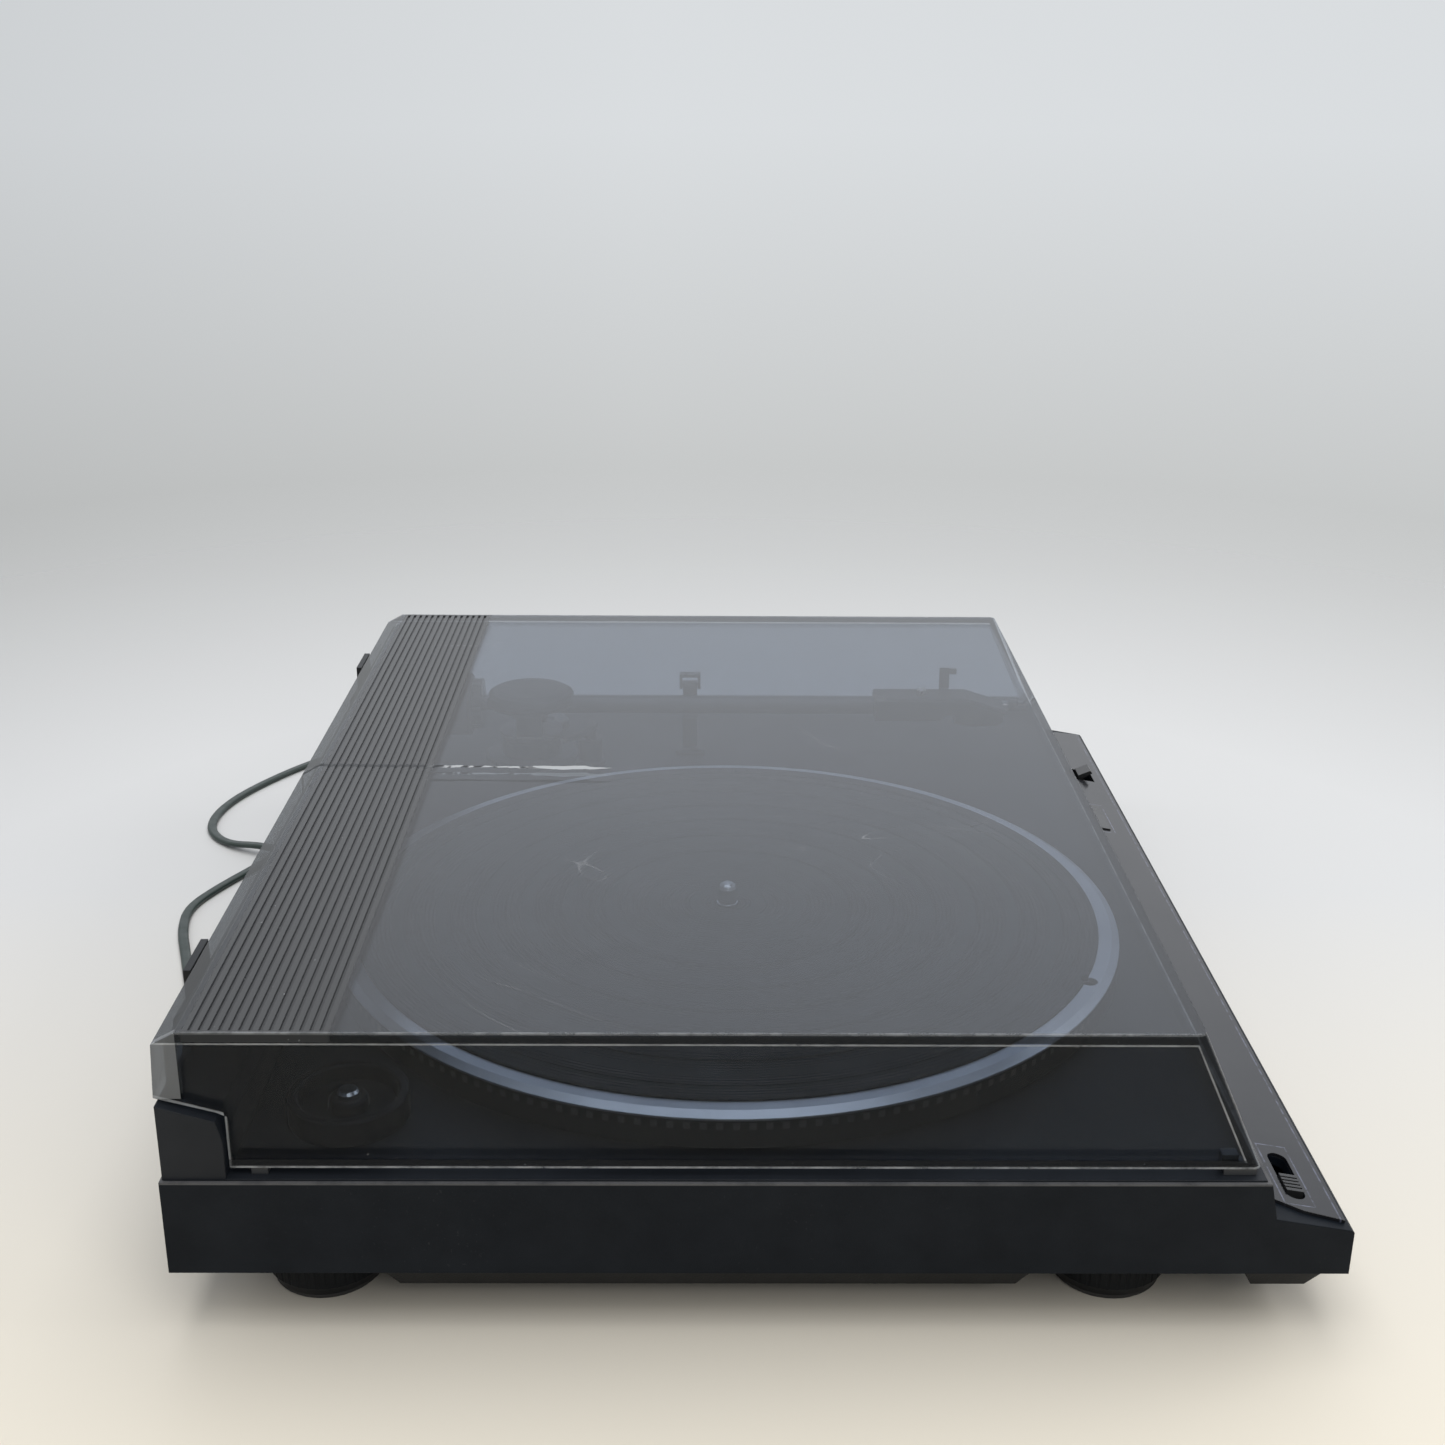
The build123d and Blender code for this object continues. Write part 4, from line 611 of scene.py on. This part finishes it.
def make_section():
    """The lead's flat twin-core outline."""
    profile = bpy.data.curves.new("cord_profile", "CURVE")
    outline = profile.splines.new("POLY")
    shape = []
    for side in (1, -1):
        for i in range(ARC_POINTS):
            angle = math.radians(ARC_START + i * ARC_STEP)
            shape.append((side * (CORE_X + CORE_R * math.cos(angle)), side * CORE_R * math.sin(angle)))
    outline.points.add(len(shape) - 1)
    for point, (u, v) in zip(outline.points, shape):
        point.co = (u * MM, v * MM, 0, 1)
    outline.use_cyclic_u = True
    section = bpy.data.objects.new("cord_profile", profile)
    section.hide_render = True
    bpy.context.scene.collection.objects.link(section)
    return section


def make_cord():
    """The whole lead as one spline, from the cabinet through the coil to the plug."""
    points = ROUTE + coil_points() + TO_PLUG
    curve = bpy.data.curves.new("mains_lead", "CURVE")
    curve.dimensions = "3D"
    spline = curve.splines.new("NURBS")
    spline.points.add(len(points) - 1)
    for point, place in zip(spline.points, points):
        point.co = (*[v * MM for v in place], 1)
    spline.order_u = 3
    spline.use_endpoint_u = True
    spline.resolution_u = 6
    curve.twist_mode = "Z_UP"
    curve.bevel_mode = "OBJECT"
    curve.bevel_object = make_section()
    curve.use_fill_caps = True
    lead = bpy.data.objects.new("mains_lead", curve)
    bpy.context.scene.collection.objects.link(lead)
    lead.data.materials.append(finishes["cord_vinyl"])
    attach(lead, "cabinet")
    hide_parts("mains_cord", "cord_coil")


make_cord()


# ---- stage ---------------------------------------------------------------------------
TABLE_REACH = 2.5
# the table fades out between these distances from the object
FADE_START, FADE_END = 0.40, 1.05
# painted light falloff: brighter and warmer towards the camera, darker and cooler at the back
TABLE_LIT_NEAR = (0.80, 0.72, 0.56)
TABLE_SHADED_FAR = (0.62, 0.63, 0.64)
TABLE_CLOUD = (0.6, 0.6, 0.6)
# backdrop below, just above and high above the horizon, and the room round it
BACKDROP_LOW = (0.535, 0.545, 0.540)
BACKDROP_MIDDLE = (0.700, 0.725, 0.745)
BACKDROP_HIGH = (1.12, 1.15, 1.21)
ROOM_LOW = (0.44, 0.44, 0.43)
ROOM_HIGH = (0.27, 0.28, 0.30)


def make_table():
    """Pale table with painted light falloff from the camera side to the back, fading into the backdrop.
    """
    n = Finish("table")
    x, y, _ = n.axes()
    away = n.math("SQRT", n.plus(n.times(x, x), n.times(y, y)))
    # painted light falloff across the table
    shade = n.blend(n.spread(x, -0.5, 0.1), TABLE_LIT_NEAR, TABLE_SHADED_FAR)
    shade = n.blend(n.times(n.noise(3, 4), 0.10), shade, TABLE_CLOUD)
    n.set(Base_Color=shade, Roughness=0.6)
    nothing = n.add("BsdfTransparent").outputs[0]
    n.show(n.mix(n.spread(away, FADE_START, FADE_END), n.shader.outputs[0], nothing))
    mesh = bpy.data.meshes.new("table")
    corners = [(a * TABLE_REACH, b * TABLE_REACH, 0) for a, b in ((-1, -1), (1, -1), (1, 1), (-1, 1))]
    mesh.from_pydata(corners, [], [(0, 1, 2, 3)])
    mesh.materials.append(n.material)
    table = bpy.data.objects.new("table", mesh)
    bpy.context.scene.collection.objects.link(table)


def make_world():
    """White backdrop behind the object, dim room elsewhere."""
    world = bpy.data.worlds.new("studio")
    bpy.context.scene.world = world
    world.use_nodes = True
    n = Nodes(world.node_tree, "Generated")
    x, y, z = n.axes()
    azimuth = n.math("ARCTAN2", y, x)
    elevation = n.math("ARCSINE", z)

    def by_angle(angle, first, last, *values):
        return n.spread(angle, math.radians(first), math.radians(last), *values)

    # the backdrop stands beyond the object and curves over it
    backdrop = n.times(by_angle(n.gap(azimuth), 60, 25), by_angle(elevation, 75, 45))
    tone = n.blend(by_angle(elevation, -15, -2), BACKDROP_LOW, BACKDROP_MIDDLE)
    tone = n.blend(by_angle(elevation, 2, 22), tone, BACKDROP_HIGH)
    scaled = n.add("VectorMath", Vector=tone)
    scaled.operation = "SCALE"
    n.feed(scaled.inputs["Scale"], by_angle(azimuth, 2, 22, 1.0, 0.87))
    room = n.blend(by_angle(elevation, -12, -3), ROOM_LOW, ROOM_HIGH)
    n.feed(n.tree.nodes["Background"].inputs["Color"], n.blend(backdrop, room, scaled.outputs[0]))


def add_panel(name, place, target, size, watts, colour):
    """Soft rectangular light."""
    data = bpy.data.lights.new(name, "AREA")
    data.shape = "RECTANGLE"
    data.size, data.size_y = size
    data.energy = watts
    data.color = colour
    lamp = bpy.data.objects.new(name, data)
    lamp.location = place
    lamp.rotation_mode = "QUATERNION"
    lamp.rotation_quaternion = (Vector(target) - Vector(place)).to_track_quat("-Z", "Y")
    bpy.context.scene.collection.objects.link(lamp)


def make_lights():
    """Soft panels, out of the cover's mirror line."""
    middle = (0.0, 0.0, 0.0)
    far_side = (0.1, 0.0, 0.0)
    add_panel("overhead", (-0.1, 0.0, 1.9), middle, (1.6, 2.2), 25, (1.0, 0.985, 0.96))
    add_panel("side_left", (0.3, 1.7, 1.1), far_side, (1.4, 1.0), 5, (1.0, 0.98, 0.95))
    add_panel("side_right", (0.3, -1.7, 1.1), far_side, (1.4, 1.0), 10, (1.0, 0.98, 0.95))
    add_panel("front", (-1.3, -0.4, 1.2), middle, (1.2, 1.0), 9, (1.0, 0.96, 0.88))


make_table()
make_world()
make_lights()
bpy.context.scene.view_settings.view_transform = "Standard"
